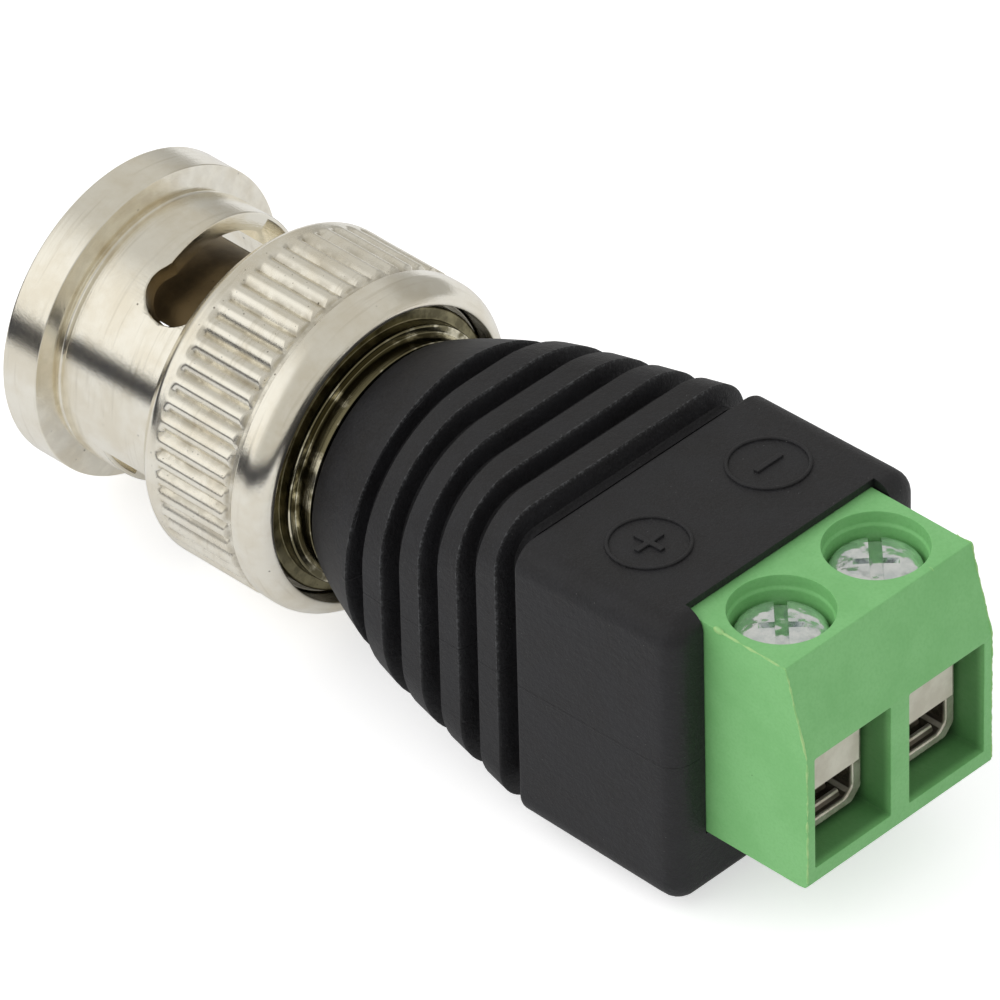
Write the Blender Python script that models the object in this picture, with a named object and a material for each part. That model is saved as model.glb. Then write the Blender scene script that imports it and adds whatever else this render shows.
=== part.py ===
"""Adapter from a bayonet coaxial plug to a two-way screw terminal.

Lengths are in metres. Inside this file a place along the connector is measured from the front face of the
coupling nut, and heights from the plug's axis. One empty carries everything to its place in the world:
+X points to the terminal, +Z up, the origin under the middle of the part on the surface that it lies on.
"""
import math

import bmesh
import bpy
from mathutils import Matrix, Vector

MM = 0.001
TURN = 2.0 * math.pi

# Gaps between separate pieces
FIT_GAP = 0.05 * MM
RUNNING_GAP = 0.10 * MM

# Coupling nut
FLANGE_THICKNESS = 1.78 * MM
BARREL_LENGTH = 5.9 * MM
GRIP_LENGTH = 6.52 * MM
JACK_ROOM = 0.85 * MM
BARREL_WALL = 0.75 * MM
FLANGE_STEP = 0.9 * MM
GRIP_STEP = 1.35 * MM
GRIP_WALL = 0.85 * MM
COLLAR_RIM_DROP = 0.36 * MM
COLLAR_RIM_LENGTH = 0.45 * MM
KNURL_MARGIN = 0.55 * MM
KNURL_COUNT = 52
KNURL_DEPTH = 0.24 * MM
KNURL_FILL = 0.62
RING_LENGTH = 1.67 * MM
REAR_ROUNDING = 0.8 * MM
RECESS_DEPTH = 1.0 * MM
NUT_SHOULDER_THICKNESS = 0.62 * MM
NUT_EDGE = 0.15 * MM
MOUTH_CHAMFER = 0.35 * MM

# Bayonet slots of the nut
LUG_RADIUS = 1.0 * MM
LUG_GROOVE_WALL = 0.15 * MM
LUG_GAP = 0.2 * MM
SLOT_ENTRY_ANGLE = math.radians(34.0)
SLOT_TURN = math.radians(84.0)
SLOT_MARGIN = 0.33 * MM
SLOT_SPAN = 3.25 * MM
SLOT_HUMP = 0.63 * MM
SLOT_SEAT = 0.37 * MM
SLOT_STEPS = 28

# Plug body
SLEEVE_RADIUS = 4.05 * MM
SLEEVE_WALL = 0.6 * MM
SLEEVE_START = 2.0 * MM
SLEEVE_SLOT_LENGTH = 5.4 * MM
SLEEVE_SLOT_WIDTH = 0.5 * MM
SLEEVE_SLOTS = 4
GASKET_THICKNESS = 0.7 * MM
BODY_FLANGE_THICKNESS = 0.62 * MM
HUB_STEP = 0.15 * MM
TAIL_STEP = 0.6 * MM
TAIL_WALL = 0.65 * MM
TAIL_LENGTH = 4.2 * MM
TAIL_GROOVE = 0.3 * MM

# Pin and its insulator
PIN_RADIUS = 0.675 * MM
PIN_SETBACK = 0.6 * MM
PIN_SHANK_RADIUS = 1.05 * MM
PIN_TIP_LENGTH = 0.8 * MM
PIN_TAIL = 1.6 * MM
CUP_DEPTH = 1.1 * MM
CUP_RADIUS = 0.6 * MM
INSULATOR_SETBACK = 5.5 * MM
INSULATOR_HEAD_LENGTH = 3.0 * MM
INSULATOR_SHANK_START = 1.5 * MM

# Spring, washer and rear bushing
SPRING_THICKNESS = 0.16 * MM
SPRING_WAVES = 3
NUT_TRAVEL = 0.4 * MM
WASHER_THICKNESS = 0.25 * MM
BUSHING_ROOM = 0.25 * MM
BUSHING_FLANGE_THICKNESS = 0.4 * MM
BUSHING_STEP = 0.4 * MM
BUSHING_STEP_LENGTH = 0.4 * MM
BUSHING_CHAMFER = 0.14 * MM

# Moulded housing
COLLAR_FRONT_STEP = 0.15 * MM
COLLAR_REAR_STEP = 0.05 * MM
HOUSING_START_GAP = 0.1 * MM
HOUSING_COLLAR_LENGTH = 4.2 * MM
COLLAR_NOSE = 0.3 * MM
RIB_COUNT = 4
RIB_WIDTH = 1.1 * MM
GROOVE_WIDTH = 0.9 * MM
GROOVE_DEPTH = 0.85 * MM
RIB_STEP = 0.25 * MM
RIB_EDGE = 0.16 * MM
ROUND_CORNER = 6.2 * MM
SQUARE_CORNER = 1.6 * MM
BOX_CORNER = 1.1 * MM
BOX_LENGTH = 8.0 * MM
BOX_INSET = 0.25 * MM
BOX_WIDTH_TAPER = 0.1 * MM
BOX_HEIGHT_TAPER = 0.3 * MM
BOX_TOP_WALL = 0.42 * MM
BOX_REAR_ROUNDING = 0.9 * MM
CORNER_STEPS = 9
LEAD_ROOM_HALF_HEIGHT = 2.0 * MM
LEAD_ROOM_SIDE = 1.3 * MM

# Polarity marks
MARK_RADIUS = 1.65 * MM
MARK_WIDTH = 0.16 * MM
MARK_HEIGHT = 0.1 * MM
MARK_FROM_REAR = 4.45 * MM
MARK_OUTWARD = 0.66 * MM
SIGN_HALF_LENGTH = 0.7 * MM
SIGN_WIDTH = 0.25 * MM

# Terminal block
POLE_PITCH = 5.08 * MM
BLOCK_SIDE_WALL = 0.44 * MM
BLOCK_PARTITION = 1.02 * MM
BLOCK_BOTTOM = -3.65 * MM
BLOCK_PROTRUSION = 5.05 * MM
BLOCK_SLOPE_LENGTH = 1.06 * MM
BLOCK_SLOPE_DROP = 3.68 * MM
BLOCK_EDGE = 0.35 * MM
TOP_NOTCH = 0.9 * MM
BAY_FLOOR = 0.85 * MM
BAY_REAR_WALL = 1.6 * MM
LINTEL_THICKNESS = 1.28 * MM
LINTEL_LIP = 0.22 * MM
SCREW_FROM_FRONT = 3.52 * MM
WELL_INSET = 0.01 * MM
WELL_STEP_DEPTH = 0.45 * MM
WELL_STEP = 0.14 * MM
LEDGE_THICKNESS = 0.32 * MM

# Clamp screw
HEAD_HEIGHT = 1.45 * MM
HEAD_SETBACK = 1.22 * MM
HEAD_DOME = 0.22 * MM
HEAD_OVERHANG = 0.53 * MM
SLOT_WIDTH = 0.5 * MM
SLOT_DEPTH = 0.55 * MM
CROSS_RADIUS = 0.95 * MM
CROSS_WIDTH = 0.48 * MM
CROSS_DEPTH = 0.95 * MM
SLOT_ANGLE = math.radians(-45.0)

# Clamp cage
CAGE_TRAVEL = 1.76 * MM
CAGE_SHEET = 0.45 * MM
CAGE_TOP_THICKNESS = 0.65 * MM
CAGE_CHAMFER = 0.5 * MM
CAGE_FRONT_SETBACK = 0.1 * MM
CAGE_RIB = 0.12 * MM
CAGE_RIBS = 4

# Contact bar
BAR_THICKNESS = 0.7 * MM
BAR_SIDE_GAP = 0.25 * MM
WIRE_ROOM = 2.15 * MM
APRON_THICKNESS = 0.35 * MM
APRON_OVERHANG = 0.1 * MM
APRON_RISE = 2.2 * MM
BAR_TAIL = 2.2 * MM
BAR_TAIL_HALF_WIDTH = 0.6 * MM

# Leads
LEAD_RADIUS = 0.3 * MM
LEAD_POINTS = 12

# Radii that follow from the sleeve's
SLEEVE_BORE_RADIUS = SLEEVE_RADIUS - SLEEVE_WALL
HUB_RADIUS = SLEEVE_RADIUS - HUB_STEP
TAIL_RADIUS = HUB_RADIUS - TAIL_STEP
BARREL_BORE_RADIUS = SLEEVE_RADIUS + JACK_ROOM
BARREL_RADIUS = BARREL_BORE_RADIUS + BARREL_WALL
LUG_SWEEP_RADIUS = BARREL_RADIUS - LUG_GROOVE_WALL
FLANGE_RADIUS = BARREL_RADIUS + FLANGE_STEP
NUT_RADIUS = BARREL_RADIUS + GRIP_STEP
RECESS_RADIUS = NUT_RADIUS - GRIP_WALL
BUSHING_FLANGE_RADIUS = RECESS_RADIUS - BUSHING_ROOM
BUSHING_STEP_RADIUS = BUSHING_FLANGE_RADIUS - BUSHING_STEP

# The nut's stations, and from its recess those of what it turns on
COLLAR_START = FLANGE_THICKNESS + BARREL_LENGTH
NUT_LENGTH = COLLAR_START + GRIP_LENGTH
KNURL_START = COLLAR_START + COLLAR_RIM_LENGTH + KNURL_MARGIN
KNURL_END = NUT_LENGTH - RING_LENGTH
SLOT_REAR = COLLAR_START - SLOT_MARGIN
SLOT_FRONT = SLOT_REAR - SLOT_SPAN
RECESS_START = NUT_LENGTH - RECESS_DEPTH
NUT_SHOULDER_START = RECESS_START - NUT_SHOULDER_THICKNESS
WASHER_END = NUT_SHOULDER_START - FIT_GAP
WASHER_START = WASHER_END - WASHER_THICKNESS
SPRING_END = WASHER_START - FIT_GAP
SPRING_START = SPRING_END - SPRING_THICKNESS - NUT_TRAVEL
BODY_FLANGE_END = SPRING_START - FIT_GAP
BODY_FLANGE_START = BODY_FLANGE_END - BODY_FLANGE_THICKNESS
GASKET_END = BODY_FLANGE_START - FIT_GAP
GASKET_START = GASKET_END - GASKET_THICKNESS
BUSHING_START = RECESS_START + RUNNING_GAP
BUSHING_STEP_START = BUSHING_START + BUSHING_FLANGE_THICKNESS
BUSHING_END = BUSHING_STEP_START + BUSHING_STEP_LENGTH
HUB_END = BUSHING_END
TAIL_END = HUB_END + TAIL_LENGTH
INSULATOR_START = SLEEVE_START + INSULATOR_SETBACK
INSULATOR_SHOULDER = INSULATOR_START + INSULATOR_HEAD_LENGTH
PIN_START = SLEEVE_START + PIN_SETBACK
PIN_SHANK_START = INSULATOR_START + INSULATOR_SHANK_START
PIN_END = TAIL_END + PIN_TAIL

# Widths of the terminal, from its pitch
POLE_Y = 0.5 * POLE_PITCH
BAY_HALF_WIDTH = POLE_Y - 0.5 * BLOCK_PARTITION
BLOCK_HALF_WIDTH = POLE_Y + BAY_HALF_WIDTH + BLOCK_SIDE_WALL
CAGE_HALF_WIDTH = BAY_HALF_WIDTH - RUNNING_GAP
CAGE_INNER_HALF = CAGE_HALF_WIDTH - CAGE_SHEET
BAR_HALF_WIDTH = CAGE_INNER_HALF - BAR_SIDE_GAP
APRON_HALF_WIDTH = BAR_HALF_WIDTH + APRON_OVERHANG
WELL_RADIUS = BAY_HALF_WIDTH - WELL_INSET
HEAD_RADIUS = WELL_RADIUS - WELL_STEP - RUNNING_GAP
SHANK_RADIUS = HEAD_RADIUS - HEAD_OVERHANG

# Heights of the terminal, from the floor of the cage bays up to the block's top
BAY_BOTTOM = BLOCK_BOTTOM + BAY_FLOOR
CAGE_BOTTOM = BAY_BOTTOM + FIT_GAP
CAGE_FLOOR = CAGE_BOTTOM + CAGE_SHEET
BAR_BOTTOM = CAGE_FLOOR + WIRE_ROOM
BAR_TOP = BAR_BOTTOM + BAR_THICKNESS
SHANK_BOTTOM = BAR_TOP + FIT_GAP
CAGE_ROOF = BAR_TOP + RUNNING_GAP
CAGE_TOP = CAGE_ROOF + CAGE_TOP_THICKNESS
BAY_TOP = CAGE_TOP + CAGE_TRAVEL + RUNNING_GAP
LEDGE_TOP = BAY_TOP + LEDGE_THICKNESS
HEAD_BOTTOM = LEDGE_TOP + FIT_GAP
HEAD_TOP = HEAD_BOTTOM + HEAD_HEIGHT
BLOCK_TOP = HEAD_TOP + HEAD_SETBACK
BLOCK_CREASE = BLOCK_TOP - BLOCK_SLOPE_DROP
LINTEL_BOTTOM = BLOCK_CREASE - LINTEL_LIP

# Half sizes of the housing, from the grip of the nut and the block's top
BOX_FRONT_HALF_WIDTH = NUT_RADIUS - BOX_INSET
BOX_REAR_HALF_WIDTH = BOX_FRONT_HALF_WIDTH - BOX_WIDTH_TAPER
BOX_REAR_HALF_HEIGHT = BLOCK_TOP + BOX_TOP_WALL
BOX_FRONT_HALF_HEIGHT = BOX_REAR_HALF_HEIGHT - BOX_HEIGHT_TAPER
RIB_HALF_SIZE = BOX_FRONT_HALF_WIDTH - RIB_STEP
COLLAR_REAR_RADIUS = RIB_HALF_SIZE - COLLAR_REAR_STEP
COLLAR_FRONT_RADIUS = BUSHING_STEP_RADIUS - COLLAR_FRONT_STEP

# Stations of the housing and the terminal
HOUSING_START = BUSHING_END + HOUSING_START_GAP
COLLAR_END = HOUSING_START + HOUSING_COLLAR_LENGTH
RIB_PITCH = RIB_WIDTH + GROOVE_WIDTH
BOX_START = COLLAR_END + RIB_COUNT * RIB_PITCH + GROOVE_WIDTH
BOX_END = BOX_START + BOX_LENGTH
BLOCK_FRONT = BOX_END + BLOCK_PROTRUSION
OVERALL_LENGTH = BLOCK_FRONT
SCREW_X = BLOCK_FRONT - SCREW_FROM_FRONT
LINTEL_REAR = BLOCK_FRONT - LINTEL_THICKNESS
CAGE_FRONT = LINTEL_REAR - CAGE_FRONT_SETBACK
CAGE_HALF_LENGTH = CAGE_FRONT - SCREW_X
BAY_REAR = SCREW_X - CAGE_HALF_LENGTH - RUNNING_GAP
BLOCK_REAR = BAY_REAR - BAY_REAR_WALL
APRON_REAR = CAGE_FRONT + RUNNING_GAP
APRON_FRONT = APRON_REAR + APRON_THICKNESS
BAR_REAR = BLOCK_REAR - BAR_TAIL

# The plug's axis stands one nut radius above the surface that the part lies on
AXIS_HEIGHT = NUT_RADIUS


def clear_scene():
    """Removes whatever the opened scene holds."""
    for thing in list(bpy.data.objects):
        bpy.data.objects.remove(thing, do_unlink=True)


def make_material(name, colour, roughness, metallic):
    """One plain Principled BSDF material."""
    material = bpy.data.materials.new(name)
    material.use_nodes = True
    shader = material.node_tree.nodes["Principled BSDF"]
    shader.inputs["Base Color"].default_value = (*colour, 1.0)
    shader.inputs["Roughness"].default_value = roughness
    shader.inputs["Metallic"].default_value = metallic
    material.diffuse_color = (*colour, 1.0)
    return material


def make_datum():
    """The empty at the front end of the axis, which carries every piece."""
    datum = bpy.data.objects.new("adapter_datum", None)
    datum.location = (-0.5 * OVERALL_LENGTH, 0.0, AXIS_HEIGHT)
    bpy.context.collection.objects.link(datum)
    return datum


def add_object(name, mesh_builder, material, place=(0.0, 0.0, 0.0)):
    """Links a finished bmesh as an object of the adapter, shaded smooth between its sharp edges."""
    bmesh.ops.recalc_face_normals(mesh_builder, faces=mesh_builder.faces)
    mesh = bpy.data.meshes.new(name)
    mesh_builder.to_mesh(mesh)
    mesh_builder.free()
    if material is not None:
        mesh.materials.append(material)
    mesh.shade_smooth()
    mesh.set_sharp_from_angle(angle=math.radians(30.0))
    piece = bpy.data.objects.new(name, mesh)
    piece.location = place
    piece.parent = DATUM
    bpy.context.collection.objects.link(piece)
    return piece


def carve(piece, name, mesh_builder, operation="DIFFERENCE"):
    """Cuts a solid out of a piece, or joins it on, with an exact Boolean modifier."""
    tool = add_object(name, mesh_builder, None, piece.location)
    tool.hide_render = True
    tool.display_type = "WIRE"
    modifier = piece.modifiers.new(name, "BOOLEAN")
    modifier.operation = operation
    modifier.solver = "EXACT"
    modifier.object = tool


def add_rings(builder, rings, closed):
    """Skins a row of rings with quads. A ring of one point is a pole. Open rows get end caps."""
    rows = [[builder.verts.new(point) for point in ring] for ring in rings]
    if closed:
        rows.append(rows[0])
    for low, high in zip(rows[:-1], rows[1:]):
        count = max(len(low), len(high))
        for i in range(count):
            j = (i + 1) % count
            corners = [low[i % len(low)], low[j % len(low)], high[j % len(high)], high[i % len(high)]]
            corners = list(dict.fromkeys(corners))
            if len(corners) > 2:
                builder.faces.new(corners)
    if not closed:
        for row in (rows[0], rows[-1]):
            if len(row) > 2:
                builder.faces.new(row)


def turned_x(profile, segments, closed=True):
    """A solid turned about the X axis from (x, radius) points."""
    builder = bmesh.new()
    angles = [TURN * i / segments for i in range(segments)]
    rings = []
    for x, radius in profile:
        if radius == 0.0:
            rings.append([Vector((x, 0.0, 0.0))])
        else:
            rings.append([Vector((x, radius * math.cos(a), radius * math.sin(a))) for a in angles])
    add_rings(builder, rings, closed)
    return builder


def turned_z(profile, segments):
    """A solid turned about the Z axis from (z, radius) points, closed at both ends."""
    builder = turned_x(profile, segments, closed=False)
    bmesh.ops.rotate(builder, verts=builder.verts, matrix=Matrix.Rotation(-0.5 * math.pi, 3, "Y"))
    return builder


def add_box(builder, low, high):
    """Adds a box between two opposite corners."""
    size = Vector(high) - Vector(low)
    centre = 0.5 * (Vector(high) + Vector(low))
    matrix = Matrix.Translation(centre) @ Matrix.Diagonal((*size, 1.0))
    bmesh.ops.create_cube(builder, size=1.0, matrix=matrix)


def box(low, high):
    """A box as a new solid."""
    builder = bmesh.new()
    add_box(builder, low, high)
    return builder


def extruded(outline, low, high):
    """A flat outline of (a, b) pairs, placed at both ends by the given mappings and skinned between."""
    builder = bmesh.new()
    ends = [[Vector(place(a, b)) for a, b in outline] for place in (low, high)]
    add_rings(builder, ends, False)
    return builder


def rounded_section(x, half_width, half_height, corner):
    """One ring of a rectangle with round corners, across the axis."""
    corner = min(corner, half_width, half_height)
    ring = []
    for quarter, (side_y, side_z) in enumerate(((1, 1), (-1, 1), (-1, -1), (1, -1))):
        for step in range(CORNER_STEPS + 1):
            angle = 0.5 * math.pi * (quarter + step / CORNER_STEPS)
            y = side_y * (half_width - corner) + corner * math.cos(angle)
            z = side_z * (half_height - corner) + corner * math.sin(angle)
            ring.append(Vector((x, y, z)))
    return ring


def blend(start, end, share):
    """The value that lies the given share of the way from start to end."""
    return start + (end - start) * share


def nut_profile():
    """The nut's section: outer side from the mouth to the rear, then back along the bore."""
    outer = [
        (0.0, BARREL_BORE_RADIUS + MOUTH_CHAMFER),
        (0.0, FLANGE_RADIUS - NUT_EDGE),
        (NUT_EDGE, FLANGE_RADIUS),
        (FLANGE_THICKNESS - NUT_EDGE, FLANGE_RADIUS),
        (FLANGE_THICKNESS, FLANGE_RADIUS - NUT_EDGE),
        (FLANGE_THICKNESS, BARREL_RADIUS + 2.0 * NUT_EDGE),
        (FLANGE_THICKNESS + NUT_EDGE, BARREL_RADIUS + NUT_EDGE),
        (FLANGE_THICKNESS + 3.0 * NUT_EDGE, BARREL_RADIUS),
        (COLLAR_START, BARREL_RADIUS),
        (COLLAR_START, NUT_RADIUS - COLLAR_RIM_DROP),
        (COLLAR_START + COLLAR_RIM_LENGTH, NUT_RADIUS),
    ]
    turn = 0.5 * math.pi
    width = NUT_RADIUS - RECESS_RADIUS - NUT_EDGE
    for step in range(4):
        angle = turn * step / 3.0
        x = NUT_LENGTH - REAR_ROUNDING * (1.0 - math.sin(angle))
        outer.append((x, NUT_RADIUS - width * (1.0 - math.cos(angle))))
    inner = [
        (NUT_LENGTH, RECESS_RADIUS),
        (RECESS_START, RECESS_RADIUS),
        (RECESS_START, HUB_RADIUS + RUNNING_GAP),
        (NUT_SHOULDER_START, HUB_RADIUS + RUNNING_GAP),
        (NUT_SHOULDER_START, BARREL_BORE_RADIUS),
        (MOUTH_CHAMFER, BARREL_BORE_RADIUS),
    ]
    return outer + inner


def wrapped_cutter(edges, inner_radius, outer_radius, half_turn):
    """A cutter wrapped round the axis, from (angle, front x, rear x) stations, and its copy further on."""
    builder = bmesh.new()
    for turn in (0.0, half_turn):
        rings = []
        for angle, front, rear in edges:
            a = angle + turn
            inward = Vector((0.0, inner_radius * math.cos(a), inner_radius * math.sin(a)))
            outward = Vector((0.0, outer_radius * math.cos(a), outer_radius * math.sin(a)))
            ahead = Vector((front, 0.0, 0.0))
            behind = Vector((rear, 0.0, 0.0))
            rings.append([ahead + inward, ahead + outward, behind + outward, behind + inward])
        add_rings(builder, rings, False)
    return builder


def slot_stations():
    """The bayonet slot's edges: a ramp, a hump and a round seat for the lug."""
    half_width = 0.5 * (SLOT_REAR - SLOT_FRONT - SLOT_SEAT)
    middle = SLOT_REAR - half_width
    reach = half_width / BARREL_RADIUS
    start = SLOT_ENTRY_ANGLE - (LUG_RADIUS + LUG_GAP) / BARREL_RADIUS
    seat = SLOT_ENTRY_ANGLE + SLOT_TURN
    hump = seat - 0.35 * reach * 1.6
    stations = []
    for step in range(SLOT_STEPS + 1):
        angle = blend(start, seat + 0.995 * reach, step / SLOT_STEPS)
        if angle <= hump:
            share = max(0.0, (angle - start) / (hump - start))
            front = SLOT_FRONT + SLOT_HUMP * share ** 1.6
            rear = SLOT_REAR
        elif angle <= seat:
            share = (angle - hump) / (seat - hump)
            front = SLOT_FRONT + blend(SLOT_HUMP, SLOT_SEAT, math.sin(0.5 * math.pi * share))
            rear = SLOT_REAR
        else:
            chord = half_width * math.sqrt(max(0.0, 1.0 - ((angle - seat) / reach) ** 2))
            front = middle - chord
            rear = middle + chord
        stations.append((angle, front, rear))
    return stations


def entry_stations():
    """The two straight grooves that let the lugs in from the mouth."""
    half_turn = (LUG_RADIUS + LUG_GAP) / LUG_SWEEP_RADIUS
    angles = [SLOT_ENTRY_ANGLE + half_turn * (i / 2.0 - 1.0) for i in range(5)]
    return [(angle, -MOUTH_CHAMFER, SLOT_FRONT + LUG_RADIUS) for angle in angles]


def knurl_cutter():
    """A ring of straight grooves along the nut's grip."""
    builder = bmesh.new()
    half = 0.5 * KNURL_FILL * TURN / KNURL_COUNT
    outer = NUT_RADIUS + KNURL_DEPTH
    floor = NUT_RADIUS - KNURL_DEPTH
    for groove in range(KNURL_COUNT):
        middle = TURN * (groove + 0.5) / KNURL_COUNT
        rings = []
        for x in (KNURL_START, KNURL_END):
            corners = ((middle - 1.6 * half, outer), (middle - 0.22 * half, floor),
                       (middle + 0.22 * half, floor), (middle + 1.6 * half, outer))
            rings.append([Vector((x, r * math.cos(a), r * math.sin(a))) for a, r in corners])
        add_rings(builder, rings, False)
    return builder


def make_coupling_nut():
    """The turning nut: flange, slotted barrel, knurled grip and smooth rear ring in one turned piece."""
    nut = add_object("coupling_nut", turned_x(nut_profile(), KNURL_COUNT), NICKEL)
    outside = NUT_RADIUS + NUT_EDGE
    inside = BARREL_BORE_RADIUS - 2.0 * NUT_EDGE
    carve(nut, "bayonet_slots", wrapped_cutter(slot_stations(), inside, outside - NUT_EDGE, math.pi))
    carve(nut, "lug_entries", wrapped_cutter(entry_stations(), inside, LUG_SWEEP_RADIUS, math.pi))
    carve(nut, "knurl_grooves", knurl_cutter())


def make_plug_body():
    """The plug's metal body: sprung outer contact, flange, hub and the grooved tail in the housing."""
    mid_tail = 0.5 * (HUB_END + TAIL_END)
    groove_radius = TAIL_RADIUS - TAIL_GROOVE
    tail_bore = TAIL_RADIUS - TAIL_WALL
    profile = [
        (SLEEVE_START, SLEEVE_BORE_RADIUS + 0.5 * SLEEVE_WALL),
        (SLEEVE_START + 0.4 * SLEEVE_WALL, SLEEVE_RADIUS),
        (BODY_FLANGE_START, SLEEVE_RADIUS),
        (BODY_FLANGE_START, BARREL_BORE_RADIUS - RUNNING_GAP),
        (BODY_FLANGE_END, BARREL_BORE_RADIUS - RUNNING_GAP),
        (BODY_FLANGE_END, HUB_RADIUS),
        (HUB_END, HUB_RADIUS),
        (HUB_END, TAIL_RADIUS),
        (mid_tail - 2.0 * TAIL_GROOVE, TAIL_RADIUS),
        (mid_tail - 2.0 * TAIL_GROOVE, groove_radius),
        (mid_tail + 2.0 * TAIL_GROOVE, groove_radius),
        (mid_tail + 2.0 * TAIL_GROOVE, TAIL_RADIUS),
        (TAIL_END, TAIL_RADIUS),
        (TAIL_END, tail_bore),
        (INSULATOR_SHOULDER + FIT_GAP, tail_bore),
        (INSULATOR_SHOULDER + FIT_GAP, SLEEVE_BORE_RADIUS),
        (SLEEVE_START + 0.4 * SLEEVE_WALL, SLEEVE_BORE_RADIUS),
    ]
    body = add_object("plug_body", turned_x(profile, 40), NICKEL)
    slots = bmesh.new()
    half = 0.5 * SLEEVE_SLOT_WIDTH
    end = SLEEVE_START + SLEEVE_SLOT_LENGTH
    for slot in range(SLEEVE_SLOTS):
        cut = box((SLEEVE_START - SLEEVE_WALL, -half, SLEEVE_BORE_RADIUS - SLEEVE_WALL),
                  (end, half, SLEEVE_RADIUS + SLEEVE_WALL))
        bmesh.ops.rotate(cut, verts=cut.verts, matrix=Matrix.Rotation(TURN * slot / SLEEVE_SLOTS, 3, "X"))
        merge(slots, cut)
    carve(body, "sleeve_slots", slots)


def merge(builder, other):
    """Adds one bmesh's faces to another."""
    scratch = bpy.data.meshes.new("scratch")
    other.to_mesh(scratch)
    other.free()
    builder.from_mesh(scratch)
    bpy.data.meshes.remove(scratch)


def make_pin_and_insulator():
    """The centre pin, and the white insulator that holds it in the body."""
    head = SLEEVE_BORE_RADIUS - FIT_GAP
    shank = TAIL_RADIUS - TAIL_WALL - FIT_GAP
    bore = PIN_RADIUS + FIT_GAP
    wide_bore = PIN_SHANK_RADIUS + FIT_GAP
    counterbore = PIN_SHANK_START - FIT_GAP
    insulator = [
        (INSULATOR_START, bore),
        (INSULATOR_START, head),
        (INSULATOR_SHOULDER, head),
        (INSULATOR_SHOULDER, shank),
        (TAIL_END, shank),
        (TAIL_END, wide_bore),
        (counterbore, wide_bore),
        (counterbore, bore),
    ]
    add_object("pin_insulator", turned_x(insulator, 32), INSULATOR_WHITE)
    pin = [
        (PIN_START, 0.0),
        (PIN_START + 0.06 * PIN_TIP_LENGTH, 0.4 * PIN_RADIUS),
        (PIN_START + 0.35 * PIN_TIP_LENGTH, 0.75 * PIN_RADIUS),
        (PIN_START + PIN_TIP_LENGTH, PIN_RADIUS),
        (PIN_SHANK_START, PIN_RADIUS),
        (PIN_SHANK_START, PIN_SHANK_RADIUS),
        (PIN_END, PIN_SHANK_RADIUS),
        (PIN_END, CUP_RADIUS),
        (PIN_END - CUP_DEPTH, CUP_RADIUS),
        (PIN_END - CUP_DEPTH, 0.0),
    ]
    add_object("centre_pin", turned_x(pin, 24, closed=False), GOLD_PLATE)


def make_coupling_parts():
    """The gasket, wave spring, sliding washer and rear bushing that sit round the body."""
    bore = BARREL_BORE_RADIUS - RUNNING_GAP
    gasket = [
        (GASKET_START, SLEEVE_RADIUS + FIT_GAP),
        (GASKET_START, bore - FIT_GAP),
        (GASKET_END, bore - FIT_GAP),
        (GASKET_END, SLEEVE_RADIUS + FIT_GAP),
    ]
    add_object("sealing_gasket", turned_x(gasket, 40), GASKET_RED)
    washer = [
        (WASHER_START, HUB_RADIUS + RUNNING_GAP),
        (WASHER_START, bore),
        (WASHER_END, bore),
        (WASHER_END, HUB_RADIUS + RUNNING_GAP),
    ]
    add_object("thrust_washer", turned_x(washer, 40), STEEL)
    bushing = [
        (BUSHING_START, HUB_RADIUS + FIT_GAP),
        (BUSHING_START, BUSHING_FLANGE_RADIUS),
        (BUSHING_STEP_START - BUSHING_CHAMFER, BUSHING_FLANGE_RADIUS),
        (BUSHING_STEP_START, BUSHING_FLANGE_RADIUS - BUSHING_CHAMFER),
        (BUSHING_STEP_START, BUSHING_STEP_RADIUS),
        (BUSHING_END - BUSHING_CHAMFER, BUSHING_STEP_RADIUS),
        (BUSHING_END, BUSHING_STEP_RADIUS - BUSHING_CHAMFER),
        (BUSHING_END, HUB_RADIUS + FIT_GAP),
    ]
    add_object("rear_bushing", turned_x(bushing, 40), NICKEL)
    swing = 0.5 * (SPRING_END - SPRING_START - SPRING_THICKNESS)
    middle = 0.5 * (SPRING_START + SPRING_END)
    half = 0.5 * SPRING_THICKNESS
    rings = []
    for step in range(48):
        angle = TURN * step / 48
        x = middle + swing * math.cos(SPRING_WAVES * angle)
        corners = ((x - half, HUB_RADIUS + RUNNING_GAP), (x - half, bore), (x + half, bore),
                   (x + half, HUB_RADIUS + RUNNING_GAP))
        rings.append([Vector((cx, r * math.cos(angle), r * math.sin(angle))) for cx, r in corners])
    builder = bmesh.new()
    add_rings(builder, rings, True)
    add_object("wave_spring", builder, STEEL)


def rib_corner(x):
    """The corner radius of the ribs, from round at the collar to nearly square at the box."""
    share = min(1.0, max(0.0, (x - COLLAR_END) / (BOX_START - COLLAR_END)))
    return blend(ROUND_CORNER, SQUARE_CORNER, share)


def rib_ring(x, drop):
    """One ring of the ribbed stretch, sunk by the given depth below the crest."""
    if x <= COLLAR_END:
        size = COLLAR_REAR_RADIUS - drop
        return rounded_section(x, size, size, size)
    share = min(1.0, (x - COLLAR_END) / RIB_PITCH)
    size = blend(COLLAR_REAR_RADIUS, RIB_HALF_SIZE, share) - drop
    return rounded_section(x, size, size, max(rib_corner(x) - drop, 0.5 * RIB_WIDTH))


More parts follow.
